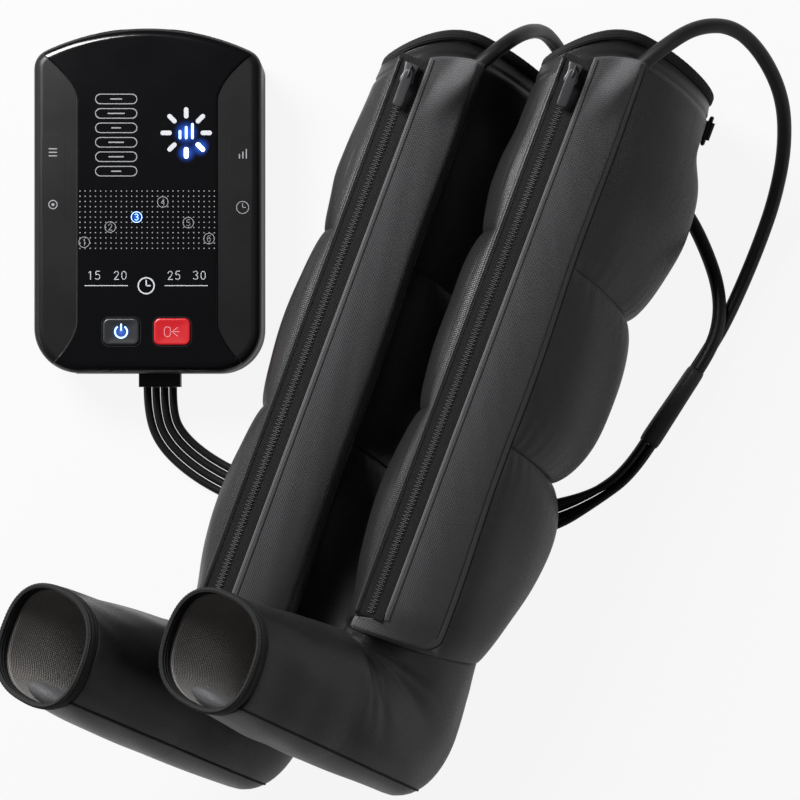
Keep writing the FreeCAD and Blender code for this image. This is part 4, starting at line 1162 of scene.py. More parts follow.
    def build(self) -> None:
        """Foot skin with its lining, then the piping, the toe binding and the insole."""
        boot = self.boot
        rows = self.rows()
        count, columns = rows.shape[:2]
        normal = skin_normals(rows)
        i = np.arange(count)[:, None] / count
        outer = rows + normal * self.relief(i, circle(columns)[None])[..., None]
        thin = self.wall - self.thinning * smooth(i, 0.7, 1.0)
        inner = (rows - normal * thin[..., None])[::-1]
        skin = self.place(outer)
        skin[..., 2] = np.maximum(skin[..., 2], -boot.origin[2])
        shell = np.concatenate([skin, self.place(inner[1:])])
        mesh = boot.add("foot_skin", Surface(boot.put(shell), wrap_rows=True), Finish.BODY,
                        "body_fabric", "foot_shell").data
        mesh.materials.append(Finish.LINING.material())
        pick = np.zeros(len(mesh.polygons), np.int32)
        pick[(count - 1) * columns:] = 1
        mesh.polygons.foreach_set("material_index", pick)
        self.build_piping(outer)
        Binding(boot, "toe_binding", -TOE, 2.2, 4.6).build(self.place(rows[-1]))
        self.build_insole()

    def build_piping(self, outer: Points) -> None:
        """A thin sewn edge on the side of the foot, on a line from toe to heel above the sole.

        Its points are where the columns' way round a section crosses that line.

        Args:
            outer: Outer skin of the foot.
        """
        line = 10.0 + (outer[..., 0] + 40) * 0.17
        first = outer.shape[1] // 4
        gap = (outer[..., 1] - line)[:, first:2 * first]
        rows = np.flatnonzero((gap < 0).any(1) & (gap[:, 0] >= 0))
        at = (gap[rows] < 0).argmax(1)
        here, back = outer[rows, first + at], outer[rows, first + at - 1]
        over, under = gap[rows, at - 1], gap[rows, at]
        path = here + (back - here) * (under / (under - over))[:, None]
        path = path[path[:, 0] > -40]
        self.boot.add("foot_piping", spun(self.boot.put(self.place(path)), 0.9 * MM, 8),
                      Finish.BINDING, "binding_web")

    def build_insole(self) -> None:
        """A crowned pad on the sole with round ends, from the heel to the toe opening."""
        start, stop = self.insole_ends
        length = np.linspace(start, stop, 60)[:, None]
        turn = circle(44)[None]
        toward = smooth(length, 110, 185)
        end = np.clip(np.minimum((length - start + 2) / 16, (stop + 2 - length) / 16), 0.02, 1)
        half = self.insole_half * np.sqrt(1 - (1 - end) ** 2)
        thick = (self.insole_thick[0] + self.insole_thick[1] * toward) * np.sqrt(end)
        rise = self.insole_rise[0] - self.insole_rise[1] * toward
        crown = 1 + 0.35 * np.abs(np.sin(turn)) ** 3
        y = self.sole(length) + rise + thick * np.sin(turn) * crown
        local = np.stack([length + 0 * turn, y, half * boxy(turn, 0.6)[0]], -1)
        obj = self.boot.add("insole_pad", Surface(self.boot.put(self.place(local))),
                            Finish.INSOLE, "sole_foam", "insole")


@dataclass
class Binding:
    """Elastic tape folded over an edge: a rounded fold carried round it, with ribs.

    Attributes:
        part: Node name without the side.
        out: Direction from the opening back into the boot.
        wall: Thickness of the wall that the tape folds over.
        deep: Half of the tape's reach along the wall.
        rib: Height of a rib as a share of the fold's size.
    """

    boot: Boot
    part: str
    out: Points
    wall: float
    deep: float
    tape: float = 0.8
    pitch: float = 2.4
    rib: float = 0.035
    steps: int = 420

    def build(self, edge: Points) -> None:
        """Carries the fold round a closed row of points on the outer edge.

        Args:
            edge: The row of points.
        """
        path = even(edge, self.steps)
        along = unit(np.roll(path, -1, 0) - np.roll(path, 1, 0))
        away = np.cross(along, self.out)
        away *= np.sign((away * (path - edge.mean(0))).sum(1).mean())
        away = unit(away)[:, None]
        c, s = boxy(circle(26), 0.62)
        at = np.linspace(0, girth(edge)[-1], self.steps, endpoint=False)
        rib = (1 + self.rib * np.sin(at / self.pitch * 2 * np.pi))[:, None, None]
        thick = self.wall / 2 + self.tape
        fold = (away * (c * thick)[None, :, None] * rib - away * (self.wall / 2 - 0.1)
                - self.out * ((s * self.deep)[None, :, None] * rib + self.deep - 1.6))
        tape = Surface(self.boot.put(path[:, None] + fold), wrap_rows=True)
        self.boot.add(f"{self.part}_tape", tape, Finish.BINDING, "binding_web", self.part)


@dataclass
class Cuff:
    """Binding on the rim, and the webbing tab with its D-ring.

    Attributes:
        bar_inset: Distance of the ring's bar from the left side of the tab.
        loop: Half size of the tab's loop round the bar: x and z.
    """

    boot: Boot
    bar_inset: float = 4.5
    tab_half: float = 6.4
    loop: tuple = (3.6, 3.0)
    strap: float = 1.0
    bow: float = 10
    wire: float = 1.5

    def build(self) -> None:
        """Binding, tab and ring."""
        boot = self.boot
        turn = circle(200)
        level = np.full_like(turn, boot.levels["rim"][0])
        edge = boot.arch(boot.leg_point(level, turn, np.zeros_like(turn)))
        Binding(boot, "cuff_binding", -UP, boot.wall, 4.0).build(edge)
        low, high = cad_box(boot.name("d_ring_tab"))
        bar = np.array([low[0] + self.bar_inset, (low[1] + high[1]) / 2, (low[2] + high[2]) / 2])
        self.build_tab(bar)
        self.build_ring(bar)

    def build_tab(self, bar: Points) -> None:
        """The tab: a loop of even thickness round the bar, drawn out to the left.

        Args:
            bar: Middle of the ring's bar.
        """
        t = circle(52)
        left = np.maximum(-np.cos(t), 0)
        wide, high = self.loop
        loop = np.stack([bar[0] + wide * np.cos(t) - 5.5 * left, bar[1] + 0 * t,
                         bar[2] + (high - 0.7 * left) * np.sin(t) + 1.5 * left], 1)
        outer = loop[None] + UP * np.linspace(-self.tab_half, self.tab_half, 14)[:, None, None]
        shrink = np.array([1 - self.strap / wide, 1, 1 - self.strap / (high + 0.1)])
        inner = bar + (outer - bar) * shrink
        inner[..., 1] = outer[..., 1]
        tab = Surface(np.concatenate([outer, inner[::-1]]) * MM, wrap_rows=True)
        self.boot.add("ring_tab_loop", tab, Finish.BINDING, "binding_web", "d_ring_tab")

    def build_ring(self, bar: Points) -> None:
        """The ring: a wire along half a circle and straight back through the tab.

        Args:
            bar: Middle of the ring's bar.
        """
        bow = arc((0, 0), self.bow, np.linspace(-np.pi / 2, np.pi / 2, 26))
        back = np.linspace(self.bow, -self.bow, 14)[1:-1]
        run = np.concatenate([bow, np.column_stack([0 * back, back])])
        path = np.column_stack([0 * run[:, 0], run[:, 1], -run[:, 0]]) + bar
        ring = spun(path * MM, self.wire * MM, 14, closed=True)
        self.boot.add("d_ring_wire", ring, Finish.RING, "ring_black", "d_ring", "d_ring")


@dataclass
class Zip:
    """Two tapes with a fold of cloth beside them, the teeth, the slider and its pull.

    Attributes:
        profile: Half of the tapes' section, from the outer edge: x and height.
        fold: Distance of the cloth fold from the middle, its height and its radius.
        tooth: Half width, half length and height of a tooth.
        weave: How far the teeth stand off the middle by turns.
        slider: Length, half width and middle height of the slider, and its half thickness.
        bridge: Half length and height of the bridge, the height of its feet, and its radius.
        pin: Place of the pull's pin along the slider, and its height.
    """

    boot: Boot
    profile: tuple = ((-10, 0.0), (-10, 0.9), (-9.2, 1.2), (-5.5, 1.35), (-3.3, 1.3), (-0.4, 0.9))
    fold: tuple = (9.2, 1.0, 1.9)
    pitch: float = 1.35
    tooth: tuple = (1.9, 0.486, 1.35)
    weave: float = 0.6
    slider: tuple = (14, 5.2, 3.65, 1.45)
    waist: float = 1.1
    bridge: tuple = (4.6, 4.7, 1.3)
    pin: tuple = (-7, 7.6)
    leaf_end: float = 24
    droop: float = math.radians(8)

    def build(self) -> None:
        """Tapes, fold, teeth, slider and pull."""
        boot = self.boot
        level = np.linspace(boot.zip_start, boot.zip_end, 180)
        half = np.array(self.profile)
        profile = np.concatenate([half, half[::-1] * [-1, 1]])
        points = np.zeros((len(level), len(profile), 3))
        points[..., 0] = profile[:, 0] + 0.12 * np.sin(level / 17)[:, None]
        points[..., 1] = level[:, None]
        points[..., 2] = boot.zip_line(level)[:, None] + profile[:, 1]
        boot.add("zip_tapes", Surface(boot.put(points)), Finish.TAPE, "zip_tape_black", "zip_tape")
        level = np.linspace(boot.zip_start, boot.zip_end - 3, 150)
        away, rise, radius = self.fold
        fold = np.stack([-away + 0 * level, level, boot.zip_line(level) + rise], 1)
        boot.add("zip_fold", spun(boot.put(fold), radius * MM, squash=0.7), Finish.BODY,
                 "body_fabric")
        self.build_teeth()
        self.build_slider()
        self.build_pull()

    def build_teeth(self) -> None:
        """Nylon teeth, by turns left and right of the middle: blocks that narrow upwards."""
        boot = self.boot
        level = np.arange(boot.zip_start + 4, boot.zip_end - 4, self.pitch)
        foot = np.array([[-1, -.7, 0], [1, -.7, 0], [1, .7, 0], [-1, .7, 0]])
        head = np.array([[-.85, -.45, 1], [.85, -.45, 1], [.85, .45, 1], [-.85, .45, 1]])
        block = np.concatenate([foot, head]) * self.tooth
        shift = np.where(np.arange(len(level)) % 2, self.weave, -self.weave)
        centre = np.stack([shift, level, boot.zip_line(level) + 1.15], 1)
        teeth = boot.put(block[None] + centre[:, None])
        faces = quads(2, 4, False) + caps(2, 4)
        mesh = joined([(tooth, faces) for tooth in teeth])
        boot.add("zip_teeth", mesh, Finish.COIL, "coil_black", "zip_coil")

    def carry(self, local: Points) -> Points:
        """Local points (x, along, above) to metres at the slider's place on the zip line.

        Args:
            local: The local points.

        Returns:
            The same points in metres.
        """
        level = self.boot.zip_end - 5
        tilt = math.atan(self.boot.zip_slope)
        y = local[..., 1] * math.cos(tilt) - local[..., 2] * math.sin(tilt)
        z = local[..., 1] * math.sin(tilt) + local[..., 2] * math.cos(tilt)
        above = self.boot.zip_line(level) + 0.25 + 1.4
        return self.boot.put(np.stack([local[..., 0], level + y, above + z], -1))

    def build_slider(self) -> None:
        """Slider: a waisted lacquered body with a round bridge over it."""
        long, half, middle, thick = self.slider
        y = np.linspace(-long, 0, 15)
        c, s = boxy(circle(28), 0.55)
        width = half - self.waist * np.sin((y + long) / long * np.pi) ** 2 - 0.8 * smooth(-y, 11, 14)
        local = np.zeros((len(y), len(c), 3))
        local[..., 0] = width[:, None] * c
        local[..., 1] = y[:, None]
        local[..., 2] = middle + thick * s - 0.25 * smooth(-y, 10, 14)[:, None]
        t = np.linspace(-np.pi / 2, np.pi / 2, 20)
        reach, foot, radius = self.bridge
        bridge = np.stack([0 * t, self.pin[0] + reach * np.sin(t), foot + reach * np.cos(t)], 1)
        bow = spun(self.carry(bridge), radius * MM, squash=0.6)
        self.boot.add("slider_body", merged([Surface(self.carry(local)).mesh(), bow.mesh()]),
                      Finish.SLIDER, "slider_black", "zip_slider", "zip_slider")

    def build_pull(self) -> None:
        """Pull: a leaf on its pin, with round ends and a thicker foot, that droops a little."""
        length = np.concatenate([np.linspace(-2.6, 3, 8), np.linspace(4, self.leaf_end, 26)])
        half = 2.5 + 0.5 * smooth(length, -2.6, 1) + 0.5 * smooth(length, 2, 6)
        tip = np.clip(length - self.leaf_end + 1.4, 0, 1.4) / 1.5
        root = np.clip(-length, 0, 2.6) / 2.7
        for away, power in ((tip, 2.4), (root, 2)):
            half = half * np.sqrt(np.clip(1 - away ** power, 0.02, 1))
        thick = 0.85 + 0.25 * smooth(length, 14, 22)
        c, s = boxy(circle(28), 0.55)
        down, out = math.sin(self.droop), math.cos(self.droop)
        length, rise = length[:, None], thick[:, None] * s
        leaf = np.stack([half[:, None] * c, self.pin[0] - length * out - rise * down,
                         self.pin[1] - length * down + rise * out + 0.9], -1)
        self.boot.add("pull_leaf", Surface(self.carry(leaf)), Finish.SLIDER, "slider_black",
                      "zip_pull", "zip_pull")


@dataclass
class Flap:
    """Wind flap: a cloth strip over the chambers with a rounded lower corner and piped edge.

    Attributes:
        flare: How much wider its lower end is on the right.
        tuck: How far its lower end reaches to the left under the zip's end.
        lift: Height of its top and of its underside over the leg.
        seams: Columns under the two sewn lines.
        hose_clear: How far it lies over the middle of the hose gland's box.
    """

    boot: Boot
    left: float = 9.8
    right: float = 45.0
    low: float = 114.0
    high: float = 543.0
    flare: float = 9.5
    tuck: float = 19.5
    corner: float = 9
    lift: tuple = (4.4, 1.6)
    seams: tuple = (4, 39)
    hose_clear: float = 6.6
    hose_yaw: float = math.radians(30)

    def build(self) -> None:
        """The cloth, the piping along its lower and right edge, and two sewn lines."""
        boot = self.boot
        v = np.linspace(0, 1, 170)[:, None]
        u = np.linspace(0, 1, 44)[None]
        level = self.low + (self.high - self.low) * v + 0 * u
        right = self.right + self.flare * (1 - v) + 0.7 * np.sin(v * 16)
        corner = self.corner * np.clip(1 - (level - self.low) / self.corner, 0, 1) ** 2
        left = self.left - self.tuck * (1 - smooth(level, 121, 127))
        x = left + (right - corner - left) * u
        wave = 0.5 * ripple(level / 23, x / 11, seed=boot.seed + 2)
        base = boot.skin_height(x, level)
        base += self.over_hose(x, level, base) - 2.0 * smooth(u, 0.86, 1.0)
        base -= 5.0 * (1 - smooth(level, self.low - 4, self.low + 26))
        top, under = (boot.arch(np.stack([x, level, base + lift + wave], -1)) for lift in self.lift)
        top[..., 2] -= (1.2 * (1 - np.minimum((1 - u) * 9, 1)) ** 2
                        + 0.8 * (1 - np.minimum(u * 40, 1)) ** 2)
        shell = np.concatenate([top, under[:, ::-1]], 1)
        boot.add("flap_cloth", Surface(boot.put(shell)), Finish.FLAP, "flap_fabric", "flap")
        lane = np.concatenate([top[0, 1:-1], top[:, -1]]) + np.array([0.2, 0, -1.2])
        boot.add("flap_piping", spun(boot.put(lane), 1.05 * MM, 10), Finish.PIPING, "binding_web")
        for k, column in enumerate(self.seams):
            seam = top[4:-1, column] + np.array([0, 0, 0.02])
            boot.add(f"flap_seam_{k + 1}", spun(boot.put(seam), 0.3 * MM, 6), Finish.BINDING,
                     "binding_web")

    def over_hose(self, x: Points, level: Points, base: Points) -> Points:
        """How far the flap's upper end is lifted where the hose goes in under it.

        Args:
            x: Place across the boot.
            level: Level above the sole.
            base: Height of the leg there.

        Returns:
            The lift at each point.
        """
        low, high = self.boot.part_box("hose_gland")
        middle = (low + high) / 2
        away = ((x - middle[0]) * math.cos(self.hose_yaw)
                - (level - middle[1]) * math.sin(self.hose_yaw))
        needed = np.maximum(middle[2] + self.hose_clear - base, 0)
        return (needed * np.exp(-(np.abs(away) / 13) ** 2.5)
                * smooth(level, low[1] - 40, low[1] - 3))


# ---- control unit
@dataclass
class ControlUnit:
    """Casing, panel with its marks, and buttons, in millimetres from the casing's centre.

    Attributes:
        dome: Rise of the casing's curved upper edge.
        shoulder, base: Radius of its upper and of its lower corners.
        parting: Height of the line between the two shells.
        face: Height of the front face, whose edge is rounded by rim.
        proud: How far the panel stands above the face.
        lip: Gap between the panel and the casing's edge.
        upper_flare, lower_flare: Start, length, gain and power of the panel's flare.
        strip: Width, height, corner and place of a touch strip.
        cap: Width, height and corner of a button cap.
    """

    centre: tuple[float, float] = (-132.73, 78.05)
    turn: float = math.radians(20.5)
    width: float = 167
    height: float = 253
    dome: float = 20.5
    shoulder: float = 15
    base: float = 33
    parting: float = 30
    face: float = 58
    proud: float = 1.2
    rim: float = 7.5
    lip: float = 1.3
    bevel: float = 1.8
    waist: float = 51.7
    upper_flare: tuple = (72.9, 32.9, 24.1, 1.7)
    lower_flare: tuple = (89.0, 29.5, 16.8, 1.6)
    strip: tuple = (16.7, 65.7, 3.85, (68.4, 15))
    cap: tuple = (26.8, 19.8, 4.6)
    cap_rise: float = 1.6
    cap_depth: float = 6.4
    cap_bevel: float = 1.3
    cap_dish: float = 0.5
    buttons: dict = field(default_factory=lambda: {"power": (-18.6, -96.4), "release": (18.6, -96.4)})

    @property
    def panel_face(self) -> float:
        """Height of the panel's face."""
        return self.face + self.proud

    def put(self, points: Points) -> Points:
        """Casing millimetres to metres in the shared frame.

        Args:
            points: Points of the casing.

        Returns:
            The same points in metres.
        """
        c, s = math.cos(self.turn), math.sin(self.turn)
        x = self.centre[0] + points[..., 0] * c - points[..., 1] * s
        y = self.centre[1] + points[..., 0] * s + points[..., 1] * c
        return np.stack([x, y, points[..., 2]], -1) * MM

    def outline(self) -> Points:
        """The casing seen from the front: wide dome, sides and rounded lower corners.

        Returns:
            The outline.
        """
        half, top = self.width / 2, self.height / 2
        dome = (half ** 2 + self.dome ** 2) / (2 * self.dome)
        middle = top - dome
        cx = half - self.shoulder
        cy = middle + math.sqrt((dome - self.shoulder) ** 2 - cx ** 2)
        meet = math.atan2(cy - middle, cx)
        right = arc((cx, cy), self.shoulder, np.linspace(0, meet, 16))
        crown = arc((0, middle), dome, np.linspace(meet, np.pi - meet, 50)[1:-1])
        foot = arc((self.base - half, self.base - top), self.base, np.linspace(np.pi, 1.5 * np.pi, 20))
        mirror = [-1, 1]
        return even(np.concatenate([right, crown, right[::-1] * mirror, foot, foot[::-1] * mirror]),
                    320)

    def panel(self) -> Points:
        """The hourglass panel as closed rows across it, laid on the rounded face.

        A row is x = w(y) sin(u), out along the top and back underneath. Its height is the
        casing's plus a quarter round of the distance to the panel's edge.

        Returns:
            Rows of points.
        """
        edge = even(self.outline(), 500)
        right = edge[edge[:, 0] > 0]
        order = np.argsort(right[:, 1])
        low, high = edge[:, 1].min() + self.lip, edge[:, 1].max() - self.lip
        y = (low + high) / 2 - (high - low) / 2 * np.cos(np.linspace(0.004, np.pi - 0.004, 210))
        rim = np.interp(y, right[order, 1], right[order, 0]) - self.lip
        half = np.minimum(self.half_at(y), np.maximum(rim, 0.5))
        u = np.sin(np.linspace(-np.pi / 2, np.pi / 2, 90))
        flat = np.stack([half[:, None] * u, y[:, None] + 0 * u], -1)
        inward = np.minimum(distance(flat, np.concatenate([flat[:, -1], flat[::-1, 0]])), self.bevel)
        lift = self.proud * np.sqrt(1 - (1 - inward / self.bevel) ** 2)
        gap = np.minimum(distance(flat, edge), self.rim)
        ground = self.face - self.rim + np.sqrt(self.rim ** 2 - (self.rim - gap) ** 2)
        top, under = (np.concatenate([flat, height[..., None]], 2)
                      for height in (ground + lift, ground - 0.5))
        return np.concatenate([top, under[:, ::-1]], 1)

    def half_at(self, y: Points) -> Points:
        """Half width of the hourglass: a straight waist that flares by a power of the way on.

        Args:
            y: Places along the casing.

        Returns:
            Half the width at each place.
        """
        half = self.waist + 0 * y
        for way, (start, length, gain, power) in ((y, self.upper_flare), (-y, self.lower_flare)):
            half += gain * np.clip((way - start) / length, 0, 2) ** power
        return half

    def layered(self, outline: Points, rows: Sequence[tuple[float, float]], dish: float = 0,
                rings: int = 12) -> Points:
        """An outline carried up a profile of (inset, height), then drawn in to the middle.

        Args:
            outline: Closed outline.
            rows: Inset and height of each row, from the back to the face.
            dish: How far the middle lies below the face's edge.
            rings: Rings from the face's edge to the middle.

        Returns:
            Rows of points.
        """
        ahead = unit(np.roll(outline, -1, 0) - np.roll(outline, 1, 0))
        out = np.stack([ahead[:, 1], -ahead[:, 0]], 1)
        out *= np.sign((out * outline).sum(1).mean())
        inset, height = np.array([*rows, (rows[-1][0] + 0.35, rows[-1][1])]).T[..., None]
        side = np.concatenate([outline - out * inset[..., None],
                               np.broadcast_to(height[..., None], (len(height), len(outline), 1))], 2)
        share = np.linspace(1, 0.004, rings)[1:, None, None]
        face = side[-1] * np.concatenate([share, share, 0 * share + 1], 2)
        face[..., 2] -= dish * (1 - share[..., 0] ** 2)
        return np.concatenate([side, face])

    def plate(self, centre: tuple, size: tuple, low: float, high: float, bevel: float,
              dish: float = 0.0) -> Surface:
        """A rounded block with a softened rim and a slightly dished face.

        Args:
            centre: Its middle.
            size: Width, height and corner radius.
            low: Height of its foot.
            high: Height of its face.
            bevel: Radius of the rim.
            dish: How deep the face is dished.

        Returns:
            The surface.
        """
        rows = [(0, low)] + [(bevel * (1 - math.cos(t)), high - bevel + bevel * math.sin(t))
                             for t in np.linspace(0, np.pi / 2, 7)]
        layers = self.layered(rounded(*size, 14), rows, dish, 9)
        layers[..., :2] += centre
        return Surface(self.put(layers))

    def build(self) -> None:
        """Every piece of the control unit."""
        rows = [(0.25, self.parting), (0.0, self.parting + 0.5)]
        rows += [(self.rim * (1 - math.cos(t)), self.face - self.rim + self.rim * math.sin(t))
                 for t in np.linspace(0, np.pi / 2, 9)]
        shell = self.layered(self.outline(), rows)
        publish("front_casing", Surface(self.put(shell)), Finish.CASING,
                stands_for=["pump_front_shell"])
        publish("front_panel", Surface(self.put(self.panel())), Finish.PANEL,
                stands_for=["display_panel"])
        *size, (x, y) = self.strip
        for side, sign in (("left", -1), ("right", 1)):
            strip = self.plate((sign * x, y), size, self.face - 1.0, self.face + 0.02, 0.02)
            publish(f"{side}_touch_strip", strip, Finish.CASING,
                    stands_for=[f"{side}_touch_keys"])
        high = self.panel_face + self.cap_rise
        for name, finish, slot in (("power", Finish.CAP, "button_grey"),
                                   ("release", Finish.RED_CAP, "button_red")):
            cap = self.plate(self.buttons[name], self.cap, high - self.cap_depth, high,
                             self.cap_bevel, self.cap_dish)
            publish(f"{name}_cap", cap, finish, body=f"{name}_button",
                    stands_for=[f"{name}_button"])
        Marks(self).build()


# Strokes of the plain digits, in a box 1 wide and 1.6 high.
DIGITS = {
    "0": [[(.5, 0), (.15, .2), (.06, .8), (.15, 1.4), (.5, 1.6), (.85, 1.4), (.94, .8), (.85, .2),
           (.5, 0)]],
    "1": [[(.25, 1.3), (.58, 1.6), (.58, 0)]],
    "2": [[(.08, 1.2), (.2, 1.5), (.5, 1.6), (.82, 1.48), (.92, 1.15), (.75, .8), (.06, 0),
           (.95, 0)]],
    "3": [[(.08, 1.4), (.35, 1.6), (.7, 1.58), (.88, 1.3), (.8, .98), (.45, .85)],
          [(.45, .85), (.85, .7), (.94, .38), (.78, .08), (.4, 0), (.06, .2)]],
    "4": [[(.74, 0), (.74, 1.6), (.05, .5), (.97, .5)]],
    "5": [[(.87, 1.6), (.2, 1.6), (.12, .9), (.5, 1.02), (.85, .86), (.94, .5), (.8, .1), (.42, 0),
           (.07, .17)]],
    "6": [[(.84, 1.48), (.5, 1.6), (.2, 1.35), (.07, .7), (.17, .16), (.5, 0), (.84, .16),
           (.93, .52), (.76, .88), (.42, .93), (.1, .66)]],
}


@dataclass
class Marks:
    """Printed and lit marks on the panel: plain numbers, icons and level bars only.

    The layout sheet measures to the right and downwards in units of its own. A part of a mark
    is a pair of points and faces.

    Attributes:
        scale: Millimetres for each unit of the layout sheet.
        middle: The casing's centre on the sheet.
        gap: Height of a mark's foot over the surface that carries it.
        burst: Middle of the burst of strokes, on the sheet.
        numbers: Each numbered spot on the sheet.
        parts: The parts of the marks, by finish.
    """

    unit: ControlUnit
    scale: float = 167 / 228.0
    middle: tuple = (147.5, 200.0)
    thick: float = 0.06
    gap: float = 0.08
    burst: tuple = (186.8, 133.3)
    lit_strokes: tuple = (3, 4)
    numbers: dict = field(default_factory=lambda: {
        "1": (85.1, 242.3), "2": (111.1, 227.2), "3": (137.3, 217.3), "4": (163.5, 202.2),
        "5": (188.9, 222.9), "6": (209.5, 238.7)})
    lit_number: str = "3"
    parts: dict = field(default_factory=lambda: {
        Finish.WHITE_MARK: [], Finish.DIM_MARK: [], Finish.BLUE_MARK: [], Finish.ICE_MARK: []})

    def spot(self, u: float, v: float) -> tuple[float, float]:
        """A place on the panel from its distances right and down on the layout sheet."""
        return ((u - self.middle[0]) * self.scale, (self.middle[1] - v) * self.scale)

    def raised(self, rows: Sequence[tuple[Points, float]], ring: bool) -> tuple[Points, list]:
        """A part from closed outlines that lie at their heights.

        Args:
            rows: Outlines with their heights, up the outer side first.
            ring: The last row joins the first. Otherwise a face closes each end.

        Returns:
            Its points and faces.
        """
        count = len(rows[0][0])
        points = np.concatenate([np.column_stack([p, np.full(count, z)]) for p, z in rows])
        faces = quads(len(rows), count, ring) + ([] if ring else caps(len(rows), count))
        return self.unit.put(points), faces

    def solid(self, outline: Points, z: float) -> tuple[Points, list]:
        """A flat raised shape from a convex outline."""
        return self.raised([(outline, z), (outline, z + self.thick)], False)

    def hoop(self, outline: Points, inset: float, z: float) -> tuple[Points, list]:
        """A flat raised frame along an outline.

        Args:
            outline: Its outer outline.
            inset: Width of the frame.
            z: Height of its foot.

        Returns:
            The part.
        """
        middle = outline.mean(0)
        reach = np.abs(outline - middle).max(0)
        inner = middle + (outline - middle) * (1 - inset / reach)
        top = z + self.thick
        return self.raised([(outline, z), (outline, top), (inner, top), (inner, z)], True)

    def bar(self, start: tuple, end: tuple, width: float, z: float) -> tuple[Points, list]:
        """A stroke with round ends.

        Args:
            start: Middle of one round end.
            end: Middle of the other.
            width: Its width.
            z: Height of its foot.

        Returns:
            The part.
        """
        start, end = np.array(start), np.array(end)
        length = np.linalg.norm(end - start)
        shape = rounded(length + width, width, width * 0.499, 5)
        return self.solid(turned(shape, *(end - start) / length) + (start + end) / 2, z)

    def disc(self, centre: tuple, radius: float, sides: int = 24) -> Points:
        """A round outline."""
        return arc(centre, radius, circle(sides))

    def number(self, digits: str, centre: tuple, size: float, z: float) -> list:
        """A plain number drawn with round strokes.

        Args:
            digits: The digits.
            centre: Middle of the number.
            size: Height of a digit.
            z: Height of the strokes' feet.

        Returns:
            One part for each stroke.
        """
        k = size / 1.6
        parts = []
        for place, digit in enumerate(digits):
            left = centre[0] + ((place - len(digits) / 2) * 1.45 + 0.22) * k
            for stroke in DIGITS[digit]:
                path = np.array(stroke) * k + [left, centre[1] - size / 2]
                parts += [self.bar(a, b, 0.12 * k + 0.06, z) for a, b in zip(path, path[1:])]
        return parts

    def clock(self, centre: tuple, radius: float, width: float, z: float) -> list:
        """A clock icon: ring and two hands.

        Args:
            centre: Its middle.
            radius: Radius of the ring.
            width: Width of the lines.
            z: Height of its foot.

        Returns:
            Its parts.
        """
        x, y = centre
        return [self.hoop(self.disc(centre, radius, 36), width, z),
                self.bar(centre, (x, y + radius * 0.62), width, z),
                self.bar(centre, (x + radius * 0.45, y), width, z)]

    def glow(self, name: str, centre: tuple, radius: float, z: float, lights: Sequence[tuple],
             finish: Finish = Finish.GLOW, slot: str = "panel_black", body: str = BASE) -> None:
        """A round pool of light: rings from its middle outwards.

        The light at a point is the sum over the lit marks of the square of what is left of
        the way from the mark to the end of its reach.

        Args:
            name: Name of the piece.
            centre: Middle of the pool.
            radius: Its radius.
            z: Its height.
            lights: Middle and reach of each lit mark.
            finish: Its finish.
            slot: Not used.
            body: CAD body that it rides on.
        """
        turn = circle(72)
        r = np.append(np.linspace(0.02, 1, 30), 1.0005)[:, None] * radius
        rows = np.stack([centre[0] + r * np.cos(turn), centre[1] + r * np.sin(turn),
                         z + 0 * r * turn], -1)
        rows = np.concatenate([rows, rows[-1:] - [0, 0, 0.02]])
        light = sum(np.clip(1 - np.hypot(rows[..., 0] - x, rows[..., 1] - y) / reach, 0, 1) ** 2
                    for (x, y), reach in lights)
        share = np.clip(light, 0, 1).ravel()
        mesh = paint(Surface(self.unit.put(rows)).mesh(), np.column_stack([0 * share, share]))
        publish(name, mesh, finish, body=body)

    def modes(self, z: float) -> None:
        """Six pills down the left side, each with a bare bar in the place of a word.

        Args:
            z: Height of the marks' feet.
        """
        k = self.scale
        for i, share in enumerate((0.42, 0.62, 0.34, 0.56, 0.55, 0.34)):
            x, y = self.spot(117, 99.5 + 14.4 * i)
            half = share * 26 * k / 2
            self.parts[Finish.DIM_MARK] += [
                self.hoop(rounded(42 * k, 10.4 * k, 5.1 * k, 9) + (x, y), 0.62, z),
                self.bar((x - half, y), (x + half, y), 0.9, z)]

    def ray(self, i: int) -> Points:
        """Direction of a stroke of the burst: eighths of a turn from the top."""
        t = math.radians(90 - 45 * i)
        return np.array([math.cos(t), math.sin(t)])

    def strokes(self, z: float) -> None:
        """The burst: eight strokes, two of them lit, round three rising level bars.

        Args:
            z: Height of the marks' feet.
        """
        k = self.scale
        middle = self.spot(*self.burst)
        for i in range(8):
            finish = Finish.ICE_MARK if i in self.lit_strokes else Finish.WHITE_MARK
            self.parts[finish].append(self.bar(middle + self.ray(i) * 16.6 * k,
                                               middle + self.ray(i) * 23.4 * k, 4.6 * k, z))
        for i, high in enumerate((3, 7, 10)):
            x = middle[0] + (i - 1) * 6.2 * k
            self.parts[Finish.BLUE_MARK].append(
                self.bar((x, middle[1] - 5 * k), (x, middle[1] + (high - 1.5) * k), 2.6 * k, z))

    def chart(self, z: float) -> None:
        """A field of dots with numbered spots on it, one of them lit.

        Args:
            z: Height of the marks' feet.
        """
        columns, rows = 27, 12
        for i in range(columns):
            for j in range(rows):
                spot = self.spot(80.9 + 134 * i / (columns - 1), 191.3 + 57.1 * j / (rows - 1))
                self.parts[Finish.DIM_MARK].append(self.solid(self.disc(spot, 0.5, 6), z))
        for digit, place in self.numbers.items():
            spot = self.spot(*place)
            lit = digit == self.lit_number
            group = self.parts[Finish.BLUE_MARK if lit else Finish.DIM_MARK]
            group.append(self.hoop(self.disc(spot, 5.6 * self.scale, 28), 0.45, z + 0.1))
            group += self.number(digit, spot, 6.2 * self.scale, z + 0.1)

